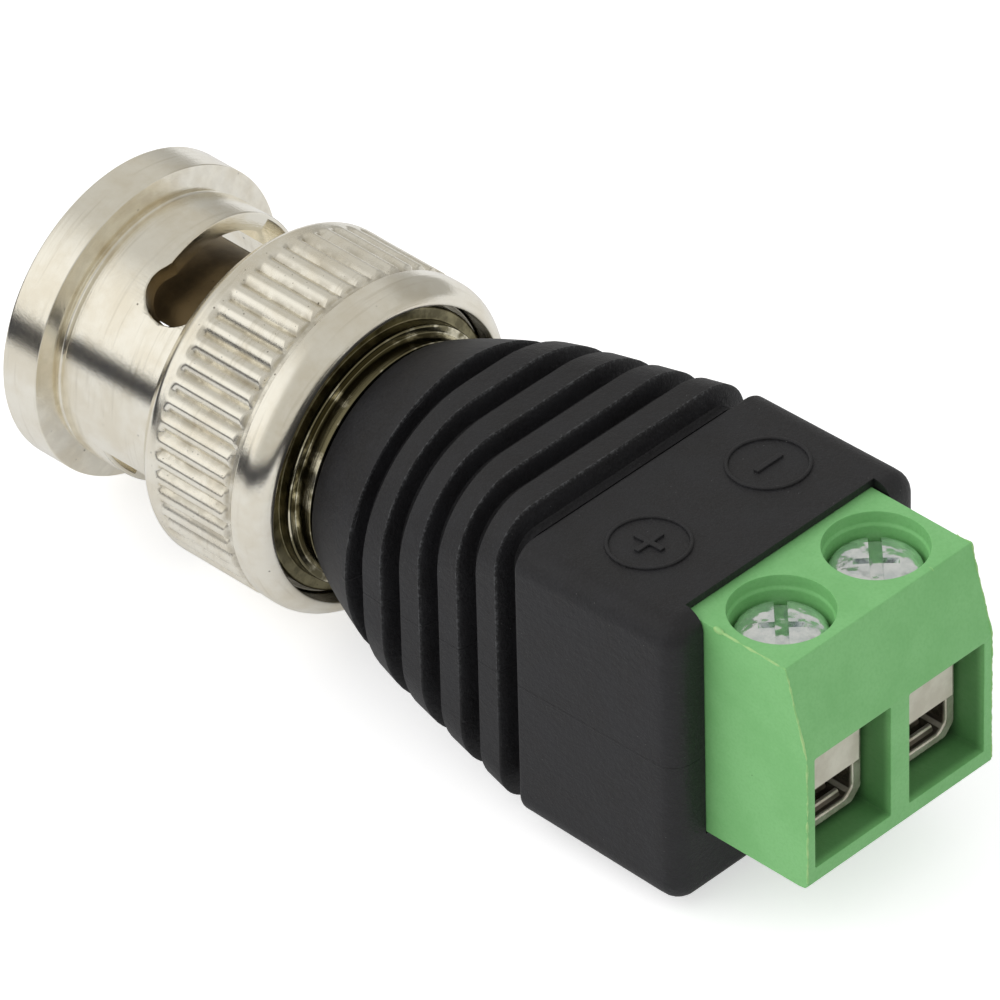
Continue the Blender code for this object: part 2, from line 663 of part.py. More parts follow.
def housing_rings():
    """Every ring of the housing's outside, from the nose of the collar to the rounded rear."""
    rings = []
    for share in (0.0, 0.4, 1.0):
        radius = COLLAR_FRONT_RADIUS - COLLAR_NOSE * (1.0 - math.sin(0.5 * math.pi * share))
        rings.append(rounded_section(HOUSING_START + COLLAR_NOSE * share, radius, radius, radius))
    for groove in range(RIB_COUNT + 1):
        front = COLLAR_END + groove * RIB_PITCH
        rear = front + GROOVE_WIDTH
        rings.append(rib_ring(front - RIB_EDGE, 0.0))
        rings.append(rib_ring(front, RIB_EDGE))
        rings.append(rib_ring(front + 0.5 * RIB_EDGE, GROOVE_DEPTH))
        rings.append(rib_ring(rear - 0.5 * RIB_EDGE, GROOVE_DEPTH))
        if groove < RIB_COUNT:
            rings.append(rib_ring(rear, RIB_EDGE))
            rings.append(rib_ring(rear + RIB_EDGE, 0.0))
    for drop in (RIB_EDGE, 0.3 * RIB_EDGE, 0.0):
        x = BOX_START + RIB_EDGE - math.sqrt(drop * (2.0 * RIB_EDGE - drop))
        rings.append(box_ring(x, drop, BOX_CORNER))
    for step in range(5):
        angle = 0.5 * math.pi * step / 4.0
        x = BOX_END - BOX_REAR_ROUNDING * (1.0 - math.sin(angle))
        rings.append(box_ring(x, BOX_REAR_ROUNDING * (1.0 - math.cos(angle)), BOX_CORNER))
    return rings


def box_ring(x, drop, corner):
    """One ring of the housing's box, which is a little taller at its rear."""
    share = (x - BOX_START) / BOX_LENGTH
    width = blend(BOX_FRONT_HALF_WIDTH, BOX_REAR_HALF_WIDTH, share) - drop
    height = blend(BOX_FRONT_HALF_HEIGHT, BOX_REAR_HALF_HEIGHT, share) - drop
    return rounded_section(x, width, height, max(corner - drop, 0.3 * corner))


def mark_frame(side):
    """Where a polarity mark lies on the housing's sloping top."""
    slope = (BOX_REAR_HALF_HEIGHT - BOX_FRONT_HALF_HEIGHT) / BOX_LENGTH
    x = BOX_END - MARK_FROM_REAR
    z = BOX_REAR_HALF_HEIGHT - slope * MARK_FROM_REAR
    tilt = Matrix.Rotation(-math.atan(slope), 4, "Y")
    return Matrix.Translation((x, side * (POLE_Y + MARK_OUTWARD), z)) @ tilt


def add_mark_ring(builder, frame):
    """The raised ring round a polarity sign."""
    rings = []
    inner = MARK_RADIUS - MARK_WIDTH
    profile = ((inner, -MARK_HEIGHT), (MARK_RADIUS, -MARK_HEIGHT),
               (MARK_RADIUS, MARK_HEIGHT), (inner, MARK_HEIGHT))
    for step in range(28):
        angle = TURN * step / 28
        ring = [Vector((r * math.cos(angle), r * math.sin(angle), z)) for r, z in profile]
        rings.append([frame @ point for point in ring])
    add_rings(builder, rings, True)


def cross_outline(reach, half):
    """The twelve corners of a flat cross with arms of the given reach and half width."""
    return ((reach, -half), (reach, half), (half, half), (half, reach),
            (-half, reach), (-half, half), (-reach, half), (-reach, -half),
            (-half, -half), (-half, -reach), (half, -reach), (half, -half))


def add_sign(builder, frame, arms):
    """The raised plus or minus, from a flat outline."""
    half = 0.5 * SIGN_WIDTH
    reach = SIGN_HALF_LENGTH
    if arms == 4:
        outline = cross_outline(reach, half)
    else:
        outline = ((half, -reach), (half, reach), (-half, reach), (-half, -reach))
    low = [frame @ Vector((a, b, -MARK_HEIGHT)) for a, b in outline]
    high = [frame @ Vector((a, b, MARK_HEIGHT)) for a, b in outline]
    add_rings(builder, [low, high], False)


def make_housing():
    """The black housing: a ribbed neck that turns from round to square, and the box round the block."""
    builder = bmesh.new()
    add_rings(builder, housing_rings(), False)
    housing = add_object("housing", builder, BLACK_PLASTIC)
    mouth = HOUSING_START - RIB_WIDTH
    seat = TAIL_END + FIT_GAP
    fit = TAIL_RADIUS + FIT_GAP
    bore = turned_x([(mouth, 0.0), (mouth, fit), (seat, fit), (seat, 0.0)], 40, closed=False)
    carve(housing, "tail_bore", bore)
    room = POLE_Y + LEAD_ROOM_SIDE
    carve(housing, "lead_room", box((TAIL_END - TAIL_GROOVE, -room, -LEAD_ROOM_HALF_HEIGHT),
                                    (BLOCK_REAR, room, LEAD_ROOM_HALF_HEIGHT)))
    pocket_side = BLOCK_HALF_WIDTH + FIT_GAP
    carve(housing, "block_pocket", box((BLOCK_REAR - FIT_GAP, -pocket_side, BLOCK_BOTTOM - FIT_GAP),
                                       (BOX_END + RIB_WIDTH, pocket_side, BLOCK_TOP + FIT_GAP)))
    carve(housing, "top_notch", box((BOX_END - TOP_NOTCH, -pocket_side, BLOCK_TOP - BLOCK_EDGE),
                                    (BOX_END + RIB_WIDTH, pocket_side, BOX_REAR_HALF_HEIGHT + RIB_WIDTH)))
    marks = bmesh.new()
    for side, arms in ((-1, 4), (1, 2)):
        frame = mark_frame(side)
        add_mark_ring(marks, frame)
        add_sign(marks, frame, arms)
    carve(housing, "polarity_marks", marks, "UNION")


def make_terminal_block():
    """The green block: two bays for the cages, wire openings in front and screw wells on top."""
    slope_top = BLOCK_FRONT - BLOCK_SLOPE_LENGTH
    outline = (
        (BLOCK_REAR, BLOCK_BOTTOM),
        (BLOCK_FRONT - 1.6 * BLOCK_EDGE, BLOCK_BOTTOM),
        (BLOCK_FRONT - 0.4 * BLOCK_EDGE, BLOCK_BOTTOM + 0.2 * BLOCK_EDGE),
        (BLOCK_FRONT, BLOCK_BOTTOM + 0.7 * BLOCK_EDGE),
        (BLOCK_FRONT, BLOCK_CREASE),
        (slope_top, BLOCK_TOP),
        (BLOCK_REAR, BLOCK_TOP),
    )
    width = BLOCK_HALF_WIDTH
    solid = extruded(outline, lambda a, b: (a, -width, b), lambda a, b: (a, width, b))
    block = add_object("terminal_block", solid, GREEN_PLASTIC)
    bays = bmesh.new()
    mouths = bmesh.new()
    bar_slots = bmesh.new()
    wells = bmesh.new()
    bores = bmesh.new()
    for side in (-1, 1):
        y = side * POLE_Y
        add_box(bays, (BAY_REAR, y - BAY_HALF_WIDTH, BAY_BOTTOM),
                (LINTEL_REAR, y + BAY_HALF_WIDTH, BAY_TOP))
        add_box(mouths, (LINTEL_REAR - BLOCK_EDGE, y - BAY_HALF_WIDTH, BAY_BOTTOM),
                (BLOCK_FRONT + BLOCK_EDGE, y + BAY_HALF_WIDTH, LINTEL_BOTTOM))
        add_box(bar_slots, (BLOCK_REAR - BLOCK_EDGE, y - BAR_HALF_WIDTH - FIT_GAP, BAR_BOTTOM - FIT_GAP),
                (BAY_REAR + BLOCK_EDGE, y + BAR_HALF_WIDTH + FIT_GAP, BAR_TOP + FIT_GAP))
        narrow = WELL_RADIUS - WELL_STEP
        step_z = BLOCK_TOP - WELL_STEP_DEPTH
        well = turned_z([(LEDGE_TOP, narrow), (step_z, narrow),
                         (step_z, WELL_RADIUS), (BLOCK_TOP + BLOCK_EDGE, WELL_RADIUS)], 40)
        bmesh.ops.translate(well, verts=well.verts, vec=(SCREW_X, y, 0.0))
        merge(wells, well)
        bore = turned_z([(BAY_TOP - BLOCK_EDGE, SHANK_RADIUS + RUNNING_GAP),
                         (LEDGE_TOP + BLOCK_EDGE, SHANK_RADIUS + RUNNING_GAP)], 32)
        bmesh.ops.translate(bore, verts=bore.verts, vec=(SCREW_X, y, 0.0))
        merge(bores, bore)
    carve(block, "cage_bays", bays)
    carve(block, "wire_mouths", mouths)
    carve(block, "bar_slots", bar_slots)
    carve(block, "screw_wells", wells)
    carve(block, "screw_bores", bores)


def make_clamp_screw(name, side):
    """A captive clamp screw whose head takes a flat or a cross driver."""
    profile = [
        (SHANK_BOTTOM, 0.0),
        (SHANK_BOTTOM, SHANK_RADIUS - 0.5 * CAGE_SHEET),
        (SHANK_BOTTOM + 0.5 * CAGE_SHEET, SHANK_RADIUS),
        (HEAD_BOTTOM, SHANK_RADIUS),
        (HEAD_BOTTOM, HEAD_RADIUS),
        (HEAD_TOP - HEAD_DOME, HEAD_RADIUS),
        (HEAD_TOP - 0.35 * HEAD_DOME, 0.93 * HEAD_RADIUS),
        (HEAD_TOP, 0.78 * HEAD_RADIUS),
        (HEAD_TOP, 0.0),
    ]
    screw = add_object(name, turned_z(profile, 32), ZINC, (SCREW_X, side * POLE_Y, 0.0))
    turn = Matrix.Rotation(SLOT_ANGLE, 3, "Z")
    slot = box((-2.0 * HEAD_RADIUS, -0.5 * SLOT_WIDTH, HEAD_TOP - SLOT_DEPTH),
               (2.0 * HEAD_RADIUS, 0.5 * SLOT_WIDTH, HEAD_TOP + SLOT_DEPTH))
    bmesh.ops.rotate(slot, verts=slot.verts, matrix=turn)
    carve(screw, name + "_slot", slot)
    half = 0.5 * CROSS_WIDTH
    inner = 0.55 * CROSS_RADIUS
    rings = []
    outer = 2.0 * CROSS_RADIUS - inner
    for depth, reach, width in ((-CROSS_DEPTH, inner, 0.7 * half), (CROSS_DEPTH, outer, 1.3 * half)):
        rings.append([Vector((a, b, HEAD_TOP + depth)) for a, b in cross_outline(reach, width)])
    cross = bmesh.new()
    add_rings(cross, rings, False)
    bmesh.ops.rotate(cross, verts=cross.verts, matrix=turn)
    carve(screw, name + "_cross", cross)


def cage_outline(half, bottom, top, chamfer):
    """A rectangle across the cage, with its two lower corners cut off."""
    return ((-half + chamfer, bottom), (half - chamfer, bottom), (half, bottom + chamfer),
            (half, top), (-half, top), (-half, bottom + chamfer))


def make_clamp_cage(name, side):
    """The sheet-metal cage that the screw lifts to press a wire against the contact bar."""
    inner_chamfer = CAGE_CHAMFER - 0.4 * CAGE_SHEET
    outer = cage_outline(CAGE_HALF_WIDTH, CAGE_BOTTOM, CAGE_TOP, CAGE_CHAMFER)
    inner = cage_outline(CAGE_INNER_HALF, CAGE_FLOOR, CAGE_ROOF, inner_chamfer)
    length = CAGE_HALF_LENGTH
    solid = extruded(outer, lambda a, b: (-length, a, b), lambda a, b: (length, a, b))
    cage = add_object(name, solid, NICKEL, (SCREW_X, side * POLE_Y, 0.0))
    past = length + CAGE_SHEET
    carve(cage, name + "_window", extruded(inner, lambda a, b: (-past, a, b), lambda a, b: (past, a, b)))
    fit = SHANK_RADIUS + FIT_GAP
    bore = turned_z([(CAGE_ROOF - CAGE_SHEET, fit), (CAGE_TOP + CAGE_SHEET, fit)], 32)
    carve(cage, name + "_thread", bore)
    ribs = bmesh.new()
    spacing = 2.0 * length / (CAGE_RIBS + 1)
    rib_half = CAGE_INNER_HALF - inner_chamfer
    for rib in range(CAGE_RIBS):
        x = length - spacing * (rib + 0.6)
        crest = ((x - 1.5 * CAGE_RIB, CAGE_FLOOR - CAGE_RIB), (x + 1.5 * CAGE_RIB, CAGE_FLOOR - CAGE_RIB),
                 (x, CAGE_FLOOR + CAGE_RIB))
        merge(ribs, extruded(crest, lambda a, b: (a, -rib_half, b), lambda a, b: (a, rib_half, b)))
    carve(cage, name + "_ribs", ribs, "UNION")


def make_contact_bar(name, side):
    """The tinned contact bar: apron at the wire opening, bar through the cage, tail into the housing."""
    y = side * POLE_Y
    solid = box((BLOCK_REAR + FIT_GAP, y - BAR_HALF_WIDTH, BAR_BOTTOM),
                (APRON_FRONT - FIT_GAP, y + BAR_HALF_WIDTH, BAR_TOP))
    bar = add_object(name, solid, TIN)
    apron = box((APRON_REAR, y - APRON_HALF_WIDTH, BAR_BOTTOM - FIT_GAP),
                (APRON_FRONT, y + APRON_HALF_WIDTH, BAR_BOTTOM + APRON_RISE))
    carve(bar, name + "_apron", apron, "UNION")
    inset = 0.15 * BAR_THICKNESS
    tail = box((BAR_REAR, y - BAR_TAIL_HALF_WIDTH, BAR_BOTTOM + inset),
               (BLOCK_REAR + BAR_TAIL_HALF_WIDTH, y + BAR_TAIL_HALF_WIDTH, BAR_TOP - inset))
    carve(bar, name + "_tail", tail, "UNION")


def make_lead(name, start, end, material):
    """A short lead that runs straight out of one joint, across, and straight into the next."""
    curve = bpy.data.curves.new(name, "CURVE")
    curve.dimensions = "3D"
    curve.bevel_depth = LEAD_RADIUS
    curve.bevel_resolution = 2
    curve.use_fill_caps = True
    spline = curve.splines.new("POLY")
    spline.points.add(LEAD_POINTS - 1)
    for index, point in enumerate(spline.points):
        share = index / (LEAD_POINTS - 1)
        ease = share * share * (3.0 - 2.0 * share)
        x = blend(start[0], end[0], share)
        point.co = (x, blend(start[1], end[1], ease), blend(start[2], end[2], ease), 1.0)
    curve.materials.append(material)
    lead = bpy.data.objects.new(name, curve)
    lead.parent = DATUM
    bpy.context.collection.objects.link(lead)


def make_leads():
    """The signal lead from the pin and the ground lead from the body, each to its contact bar."""
    bar_middle = 0.5 * (BAR_BOTTOM + BAR_TOP)
    rear = BAR_REAR - RUNNING_GAP
    cup_floor = PIN_END - CUP_DEPTH + RUNNING_GAP
    ground_y = TAIL_RADIUS - 0.5 * TAIL_WALL
    make_lead("signal_lead", (cup_floor, 0.0, 0.0), (rear, -POLE_Y, bar_middle), LEAD_RED)
    make_lead("ground_lead", (TAIL_END + RUNNING_GAP, ground_y, 0.0), (rear, POLE_Y, bar_middle),
              LEAD_BLACK)


clear_scene()
DATUM = make_datum()
NICKEL = make_material("nickel_plate", (0.70, 0.67, 0.60), 0.28, 1.0)
STEEL = make_material("spring_steel", (0.55, 0.55, 0.56), 0.35, 1.0)
TIN = make_material("tin_plate", (0.72, 0.70, 0.68), 0.5, 0.6)
ZINC = make_material("zinc_plate", (0.75, 0.77, 0.78), 0.25, 1.0)
GOLD_PLATE = make_material("gold_plate", (0.83, 0.66, 0.30), 0.25, 1.0)
BLACK_PLASTIC = make_material("black_plastic", (0.03, 0.03, 0.034), 0.55, 0.0)
GREEN_PLASTIC = make_material("green_plastic", (0.19, 0.48, 0.18), 0.45, 0.0)
INSULATOR_WHITE = make_material("insulator_white", (0.85, 0.85, 0.82), 0.5, 0.0)
GASKET_RED = make_material("gasket_red", (0.55, 0.12, 0.06), 0.7, 0.0)
LEAD_RED = make_material("lead_red", (0.55, 0.05, 0.04), 0.5, 0.0)
LEAD_BLACK = make_material("lead_black", (0.03, 0.03, 0.03), 0.5, 0.0)

make_coupling_nut()
make_plug_body()
make_pin_and_insulator()
make_coupling_parts()
make_housing()
make_terminal_block()
for POLE, SIDE in (("positive", -1), ("negative", 1)):
    make_clamp_screw("clamp_screw_" + POLE, SIDE)
    make_clamp_cage("clamp_cage_" + POLE, SIDE)
    make_contact_bar("contact_bar_" + POLE, SIDE)
make_leads()
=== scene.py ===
# The looks of an adapter from a bayonet coaxial plug to a two-way screw terminal.
# Shapes are made in millimetres, with x from the front face of the coupling nut and y and z from the
# plug's axis, and go to their place in the frame when they are settled.
import math

import bmesh
import bpy
from mathutils import Matrix, Vector


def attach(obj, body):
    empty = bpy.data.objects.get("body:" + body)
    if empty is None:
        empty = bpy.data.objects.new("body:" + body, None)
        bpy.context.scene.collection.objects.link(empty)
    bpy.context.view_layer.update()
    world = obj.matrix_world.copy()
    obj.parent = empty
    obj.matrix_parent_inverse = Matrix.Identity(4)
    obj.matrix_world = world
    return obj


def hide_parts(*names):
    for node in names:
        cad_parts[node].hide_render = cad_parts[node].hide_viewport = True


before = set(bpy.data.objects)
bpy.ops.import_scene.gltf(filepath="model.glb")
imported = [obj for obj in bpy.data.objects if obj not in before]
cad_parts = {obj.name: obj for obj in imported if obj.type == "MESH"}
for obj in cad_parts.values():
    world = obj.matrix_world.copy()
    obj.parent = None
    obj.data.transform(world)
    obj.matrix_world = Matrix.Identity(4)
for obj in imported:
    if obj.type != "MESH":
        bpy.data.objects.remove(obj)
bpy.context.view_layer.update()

TURN = 2.0 * math.pi
AXIS_HEIGHT = 7.0
HALF_LENGTH = 20.175

# Coupling nut
NUT_SEGMENTS = 520
KNURL_COUNT = 52
KNURL_DEPTH = 0.23
KNURL_START = 8.62
KNURL_END = 12.70
KNURL_SHARPNESS = 1.8
NUT_RADIUS = 7.0
FLANGE_RADIUS = 6.55
BARREL_RADIUS = 5.65
BARREL_BORE = 4.9
RECESS_RADIUS = 6.15
HUB_BORE = 4.0
NUT_LENGTH = 14.2
SLOT_FRONT = 4.10
SLOT_REAR = 7.35
SLOT_ENTRY = math.radians(34.0)
SLOT_TURN = math.radians(84.0)

# Housing
COLLAR_START = 15.0
COLLAR_END = 18.4
RIB_PITCH = 2.0
RIB_COUNT = 4
GROOVE_WIDTH = 0.9
GROOVE_DEPTH = 0.85
GROOVE_EDGE = 0.24
COLLAR_FRONT_RADIUS = 5.0
COLLAR_REAR_RADIUS = 6.62
RIB_HALF_SIZE = 6.72
BOX_START = 27.3
BOX_END = 35.3
BOX_FRONT_HALF = (6.75, 6.32)
BOX_REAR_HALF = (6.65, 6.62)
BOX_CORNER = 1.1
TAIL_BORE_RADIUS = 3.35
LEAD_ROOM_HALF = (3.84, 2.0)
MARK_RING = (1.49, 1.65)
MARK_ARM = (0.7, 0.125)
MARK_HEIGHT = 0.1
MARK_SETBACK = 4.45

# Terminal
POLE_Y = 2.54
BLOCK_HALF_WIDTH = 5.01
BLOCK_TOP = 6.2
BLOCK_BOTTOM = -3.65
BLOCK_REAR = 32.99
BLOCK_FRONT = 40.35
BLOCK_CREASE = 2.52
BLOCK_SLOPE = 1.06
LINTEL_BOTTOM = 2.3
LINTEL_REAR = 39.07
BAY_HALF_WIDTH = 2.03
BAY_BOTTOM = -2.8
BAY_TOP = 3.16
BAY_REAR = 34.59
LEDGE_TOP = 3.48
SCREW_X = 36.83
HEAD_RADIUS = 1.82
HEAD_BOTTOM = 3.53
HEAD_TOP = 5.5
SHANK_RADIUS = 1.25
SHANK_BOTTOM = 0.60
CORE_RADIUS = 1.06
THREAD_TURNS = 5.0
DRIVER_SLOT = (0.25, 0.55)
DRIVER_CROSS = ((-0.45, 0.40, 0.10), (-0.05, 0.85, 0.16), (0.5, 1.1, 0.20))

# Clamp cages
CAGE_HALF_LENGTH = 2.14
CAGE_OUTSIDE = (1.93, -2.55, 1.25, 0.5)
CAGE_INSIDE = (1.42, -2.15, 0.60, 0.34)
TOOTH_FOOT = -2.2
TOOTH_TOP = -1.94
TOOTH_COUNT = 6
TOOTH_SPACING = 0.68

# Studio, in metres
CAMERA_LENS = 441.6
CAMERA_ANGLES = (44.814, 37.977, -1.478)
CAMERA_PLACE = (0.25505, -0.25684, 0.29055)
FLOOR_HALF_SIZE = 3.0
FLAG_SEGMENTS = 96
FLAG_RINGS = ((0.050, 0.0004), (0.066, 0.0007), (0.10, 0.003), (0.30, 0.026), (0.34, 0.034))
GLARE_DIRECTION = (-0.557, -0.70, 0.45)
PANEL_DIRECTION = Vector((-0.557, -0.636, 0.534))
WHITE_LIGHT = (1.0, 1.0, 1.0, 1.0)


class Link:
    """One output of a node, whose sums with others are written as plain arithmetic."""

    def __init__(self, tree, output):
        self.tree = tree
        self.output = output

    def sum(self, operation, *values):
        kinds = [v.output.type for v in values if isinstance(v, Link)]
        kind = "ShaderNodeVectorMath" if "VECTOR" in kinds else "ShaderNodeMath"
        return self.tree.node(kind, {"operation": operation}, dict(enumerate(values)))

    def __add__(self, other):
        return self.sum("ADD", self, other)

    def __radd__(self, other):
        return self.sum("ADD", other, self)

    def __sub__(self, other):
        return self.sum("SUBTRACT", self, other)

    def __rsub__(self, other):
        return self.sum("SUBTRACT", other, self)

    def __mul__(self, other):
        return self.sum("MULTIPLY", self, other)

    def __rmul__(self, other):
        return self.sum("MULTIPLY", other, self)

    def __truediv__(self, other):
        return self.sum("DIVIDE", self, other)

    def __rtruediv__(self, other):
        return self.sum("DIVIDE", other, self)

    def __pow__(self, other):
        return self.sum("POWER", self, other)

    def __rpow__(self, other):
        return self.sum("POWER", other, self)

    def out(self, name):
        """Another output of the same node."""
        return Link(self.tree, self.output.node.outputs[name])

    def parts(self):
        """The three numbers of a vector."""
        split = self.tree.node("ShaderNodeSeparateXYZ", {}, {0: self})
        return split, split.out("Y"), split.out("Z")


class Tree:
    """A node tree, of a finish or of a shape, that is built by calls."""

    def __init__(self, nodes):
        self.nodes = nodes

    def node(self, kind, settings, feeds, output=0):
        """Adds a node, with its settings first and then the values or links of its sockets."""
        node = self.nodes.nodes.new(kind)
        for name, value in settings.items():
            setattr(node, name, value)
        for name, value in feeds.items():
            self.feed(node.inputs[name], value)
        return Link(self, node.outputs[output]) if node.outputs else node

    def feed(self, socket, value):
        """Links a socket, several times for a list of links, or sets its constant value."""
        if isinstance(value, list):
            for link in value:
                self.feed(socket, link)
        elif isinstance(value, Link):
            self.nodes.links.new(value.output, socket)
        elif socket.type == "VECTOR" and not hasattr(value, "__len__"):
            socket.default_value = (value, value, value)
        else:
            socket.default_value = value

    def step(self, value, low, high):
        """Rises smoothly from 0 to 1 as the value goes from low to high."""
        return self.node("ShaderNodeMapRange", {"interpolation_type": "SMOOTHSTEP"},
                         {"Value": value, "From Min": low, "From Max": high})

    def band(self, value, low, high, soft):
        """1 between low and high, with soft sides."""
        return self.step(value, low - soft, low) * (1.0 - self.step(value, high, high + soft))

    def maths(self, operation, *values):
        """A Math node for what has no sign of its own in Python's arithmetic."""
        return self.node("ShaderNodeMath", {"operation": operation}, dict(enumerate(values)))

    def least(self, a, b):
        return self.maths("MINIMUM", a, b)

    def most(self, a, b):
        return self.maths("MAXIMUM", a, b)

    def size(self, value):
        return self.maths("ABSOLUTE", value)

    def polar(self, y, z):
        """How far a place is from the plug's axis, and its angle round the axis."""
        return self.maths("SQRT", y * y + z * z), self.maths("ARCTAN2", z, y)

    def vector(self, x, y, z):
        return self.node("ShaderNodeCombineXYZ", {}, {0: x, 1: y, 2: z})


def linear(colour):
    """A colour of 0 to 255 steps, as it shows on a screen, as linear light."""
    values = []
    for step in colour:
        share = step / 255.0
        values.append(share / 12.92 if share <= 0.04045 else ((share + 0.055) / 1.055) ** 2.4)
    return (*values, 1.0)


class Finish(Tree):
    """A surface finish. Its own places are in millimetres, as the shapes are."""

    def __init__(self, name, **constants):
        self.material = bpy.data.materials.new(name)
        self.material.use_nodes = True
        super().__init__(self.material.node_tree)
        self.shader = self.nodes.nodes["Principled BSDF"]
        for socket, value in constants.items():
            self.shader.inputs[socket.replace("_", " ")].default_value = value
        spot = self.node("ShaderNodeTexCoord", {}, {}, "Object")
        self.place = self.node("ShaderNodeVectorMath", {"operation": "MULTIPLY_ADD"},
                               {0: spot, 1: 1000.0, 2: (HALF_LENGTH, 0.0, -AXIS_HEIGHT)})
        self.x, self.y, self.z = self.place.parts()
        self.radius, self.turned = self.polar(self.y, self.z)

    def noise(self, scale, detail=3.0, roughness=0.5, place=None, distortion=0.0):
        """Soft noise, with the scale in steps a millimetre."""
        return self.node("ShaderNodeTexNoise", {},
                         {"Vector": self.place if place is None else place, "Scale": scale,
                          "Detail": detail, "Roughness": roughness, "Distortion": distortion})

    def specks(self, scale, size):
        """Small round specks on a random net, 1 inside each speck."""
        net = self.node("ShaderNodeTexVoronoi", {}, {"Vector": self.place, "Scale": scale})
        pick = self.node("ShaderNodeSeparateColor", {}, {0: net.out("Color")})
        return (1.0 - self.step(net, 0.4 * size, size)) * self.step(pick, 0.55, 0.8)

    def mix(self, share, first, second):
        """Blends two colours. A colour that isn't a link is given in screen steps of 0 to 255."""
        first, second = (c if isinstance(c, Link) else linear(c) for c in (first, second))
        return self.node("ShaderNodeMix", {"data_type": "RGBA"}, {0: share, 6: first, 7: second}, 2)

    def done(self, colour, roughness, *reliefs):
        """Feeds the shader. A relief is a height of 0 to 1 and its depth in millimetres."""
        self.feed(self.shader.inputs["Base Color"], colour)
        self.feed(self.shader.inputs["Roughness"], roughness)
        under = {}
        for height, depth in reliefs:
            feeds = {"Strength": 1.0, "Distance": depth * 0.001, "Height": height, **under}
            under = {"Normal": self.node("ShaderNodeBump", {}, feeds)}
        self.feed(self.shader.inputs["Normal"], under["Normal"])
        return self.material


def nickel_of_nut():
    """Bright nickel on the turning nut: satin, clouded with tarnish, dirty in the knurl's grooves, with
    painted shade in the cove behind the flange and in the recess of its rear face.
    """
    f = Finish("nickel_of_nut", Metallic=1.0)
    clouds = f.noise(0.45, 5.0, 0.62)
    streaks = f.noise(1.0, 3.0, 0.5, f.vector(f.x * 5.0, f.turned * 1.6, f.radius * 2.0))
    base = f.mix(f.step(clouds, 0.38, 0.68), (247, 243, 231), (237, 230, 213))
    base = f.mix(f.step(streaks, 0.55, 0.75) * 0.25, base, (196, 186, 164))
    knurl = f.band(f.x, 8.5, 12.7, 0.15)
    sunk = knurl * (1.0 - f.step(f.radius, 6.80, 6.97))
    patch = f.step(f.noise(1.3, 4.0, 0.6), 0.38, 0.62)
    grime = sunk * (0.05 + patch * 0.30)
    base = f.mix(grime, base, (120, 108, 82))
    pits = f.specks(1.5, 0.085) + f.specks(4.2, 0.13) * knurl
    base = f.mix(f.least(pits, 1.0) * 0.8, base, (78, 68, 52))
    # Painted shade: the cove behind the flange is darkened a little, in patches.
    cove = f.band(f.x, 1.82, 2.3, 0.06)
    base = f.mix(cove * f.step(f.noise(2.0, 3.0), 0.35, 0.6) * 0.08, base, (120, 108, 88))
    # Painted shade: the recess in the nut's rear face is painted dark.
    recess = f.step(f.x, 12.9, 13.1) * (1.0 - f.step(f.radius, 6.12, 6.24))
    base = f.mix(recess * 0.65, base, (84, 80, 64))
    grain = f.noise(9.0, 4.0, 0.7)
    rings = f.noise(1.0, 4.0, 0.6, f.vector(f.x * 26.0, f.turned * 0.7, f.radius * 14.0))
    rough = 0.09 + f.step(clouds, 0.3, 0.75) * 0.06 + grain * 0.07 + grime * 0.3 + knurl * 0.10
    return f.done(base, rough, (rings, 0.004), (grain, 0.0035))


def nickel_of_body():
    """Turned nickel of the plug's body, seen only through gaps, its colour painted dark brown as the shade
    within the nut.
    """
    f = Finish("nickel_of_body", Metallic=1.0)
    clouds = f.noise(0.8, 4.0, 0.6)
    # Painted shade: the whole body's base colour is dark brown.
    base = f.mix(f.step(clouds, 0.35, 0.7), (112, 96, 70), (89.6, 76.8, 56.0))
    rings = f.noise(1.0, 3.0, 0.6, f.vector(f.x * 20.0, f.turned * 0.8, f.radius * 8.0))
    spots = f.specks(2.0, 0.10)
    base = f.mix(spots * 0.7, base, (70, 60, 46))
    return f.done(base, 0.36 + clouds * 0.12, (rings, 0.006))


def nickel_of_bushing():
    """Nickel behind the nut: painted dark and mottled on the flange as the shade in the nut's recess, patchy
    and bright on the neck, with dark specks.
    """
    f = Finish("nickel_of_bushing", Metallic=1.0)
    # Painted shade: the flange and its step sit in the nut's recess, so they are painted dark; the neck from
    # x 14.0 stays bright.
    bright = f.step(f.x, 14.0, 14.2)
    shaded_flange = f.mix(f.step(f.noise(1.6, 4.0, 0.6), 0.35, 0.65), (104, 98, 74), (150, 143, 112))
    wear_and_sheen = f.mix(f.step(f.noise(0.7, 4.0, 0.6), 0.46, 0.58), (118, 112, 86), (222, 216, 192))
    base = f.mix(bright, shaded_flange, wear_and_sheen)
    base = f.mix(f.specks(2.4, 0.10) * 0.7, base, (58, 52, 38))
    rings = f.noise(1.0, 3.0, 0.6, f.vector(f.x * 20.0, f.turned * 0.8, f.radius * 8.0))
    return f.done(base, 0.30 - bright * 0.16, (rings, 0.004))


def gold_of_pin():
    """Thin gold plate with fine turning rings."""
    f = Finish("gold_of_pin", Metallic=1.0)
    rings = f.noise(1.0, 3.0, 0.6, f.vector(f.x * 22.0, f.turned, 0.0))
    base = f.mix(f.step(f.noise(1.2), 0.4, 0.7), (232, 196, 110), (214, 172, 88))
    return f.done(base, 0.2 + rings * 0.12, (rings, 0.004))


def white_of_insulator():
    """Waxy white insulator."""
    f = Finish("white_of_insulator", IOR=1.38)
    cloud = f.noise(0.9, 3.0)
    base = f.mix(f.step(cloud, 0.35, 0.7), (232, 231, 224), (220, 217, 206))
    return f.done(base, 0.42 + cloud * 0.12, (f.noise(7.0, 3.0), 0.006))


def red_of_gasket():
    """Soft red ring."""
    f = Finish("red_of_gasket")
    dust = f.noise(5.0, 4.0, 0.6)
    base = f.mix(f.step(dust, 0.45, 0.8), (150, 48, 32), (170, 78, 60))
    return f.done(base, 0.55 + dust * 0.2, (dust, 0.01))


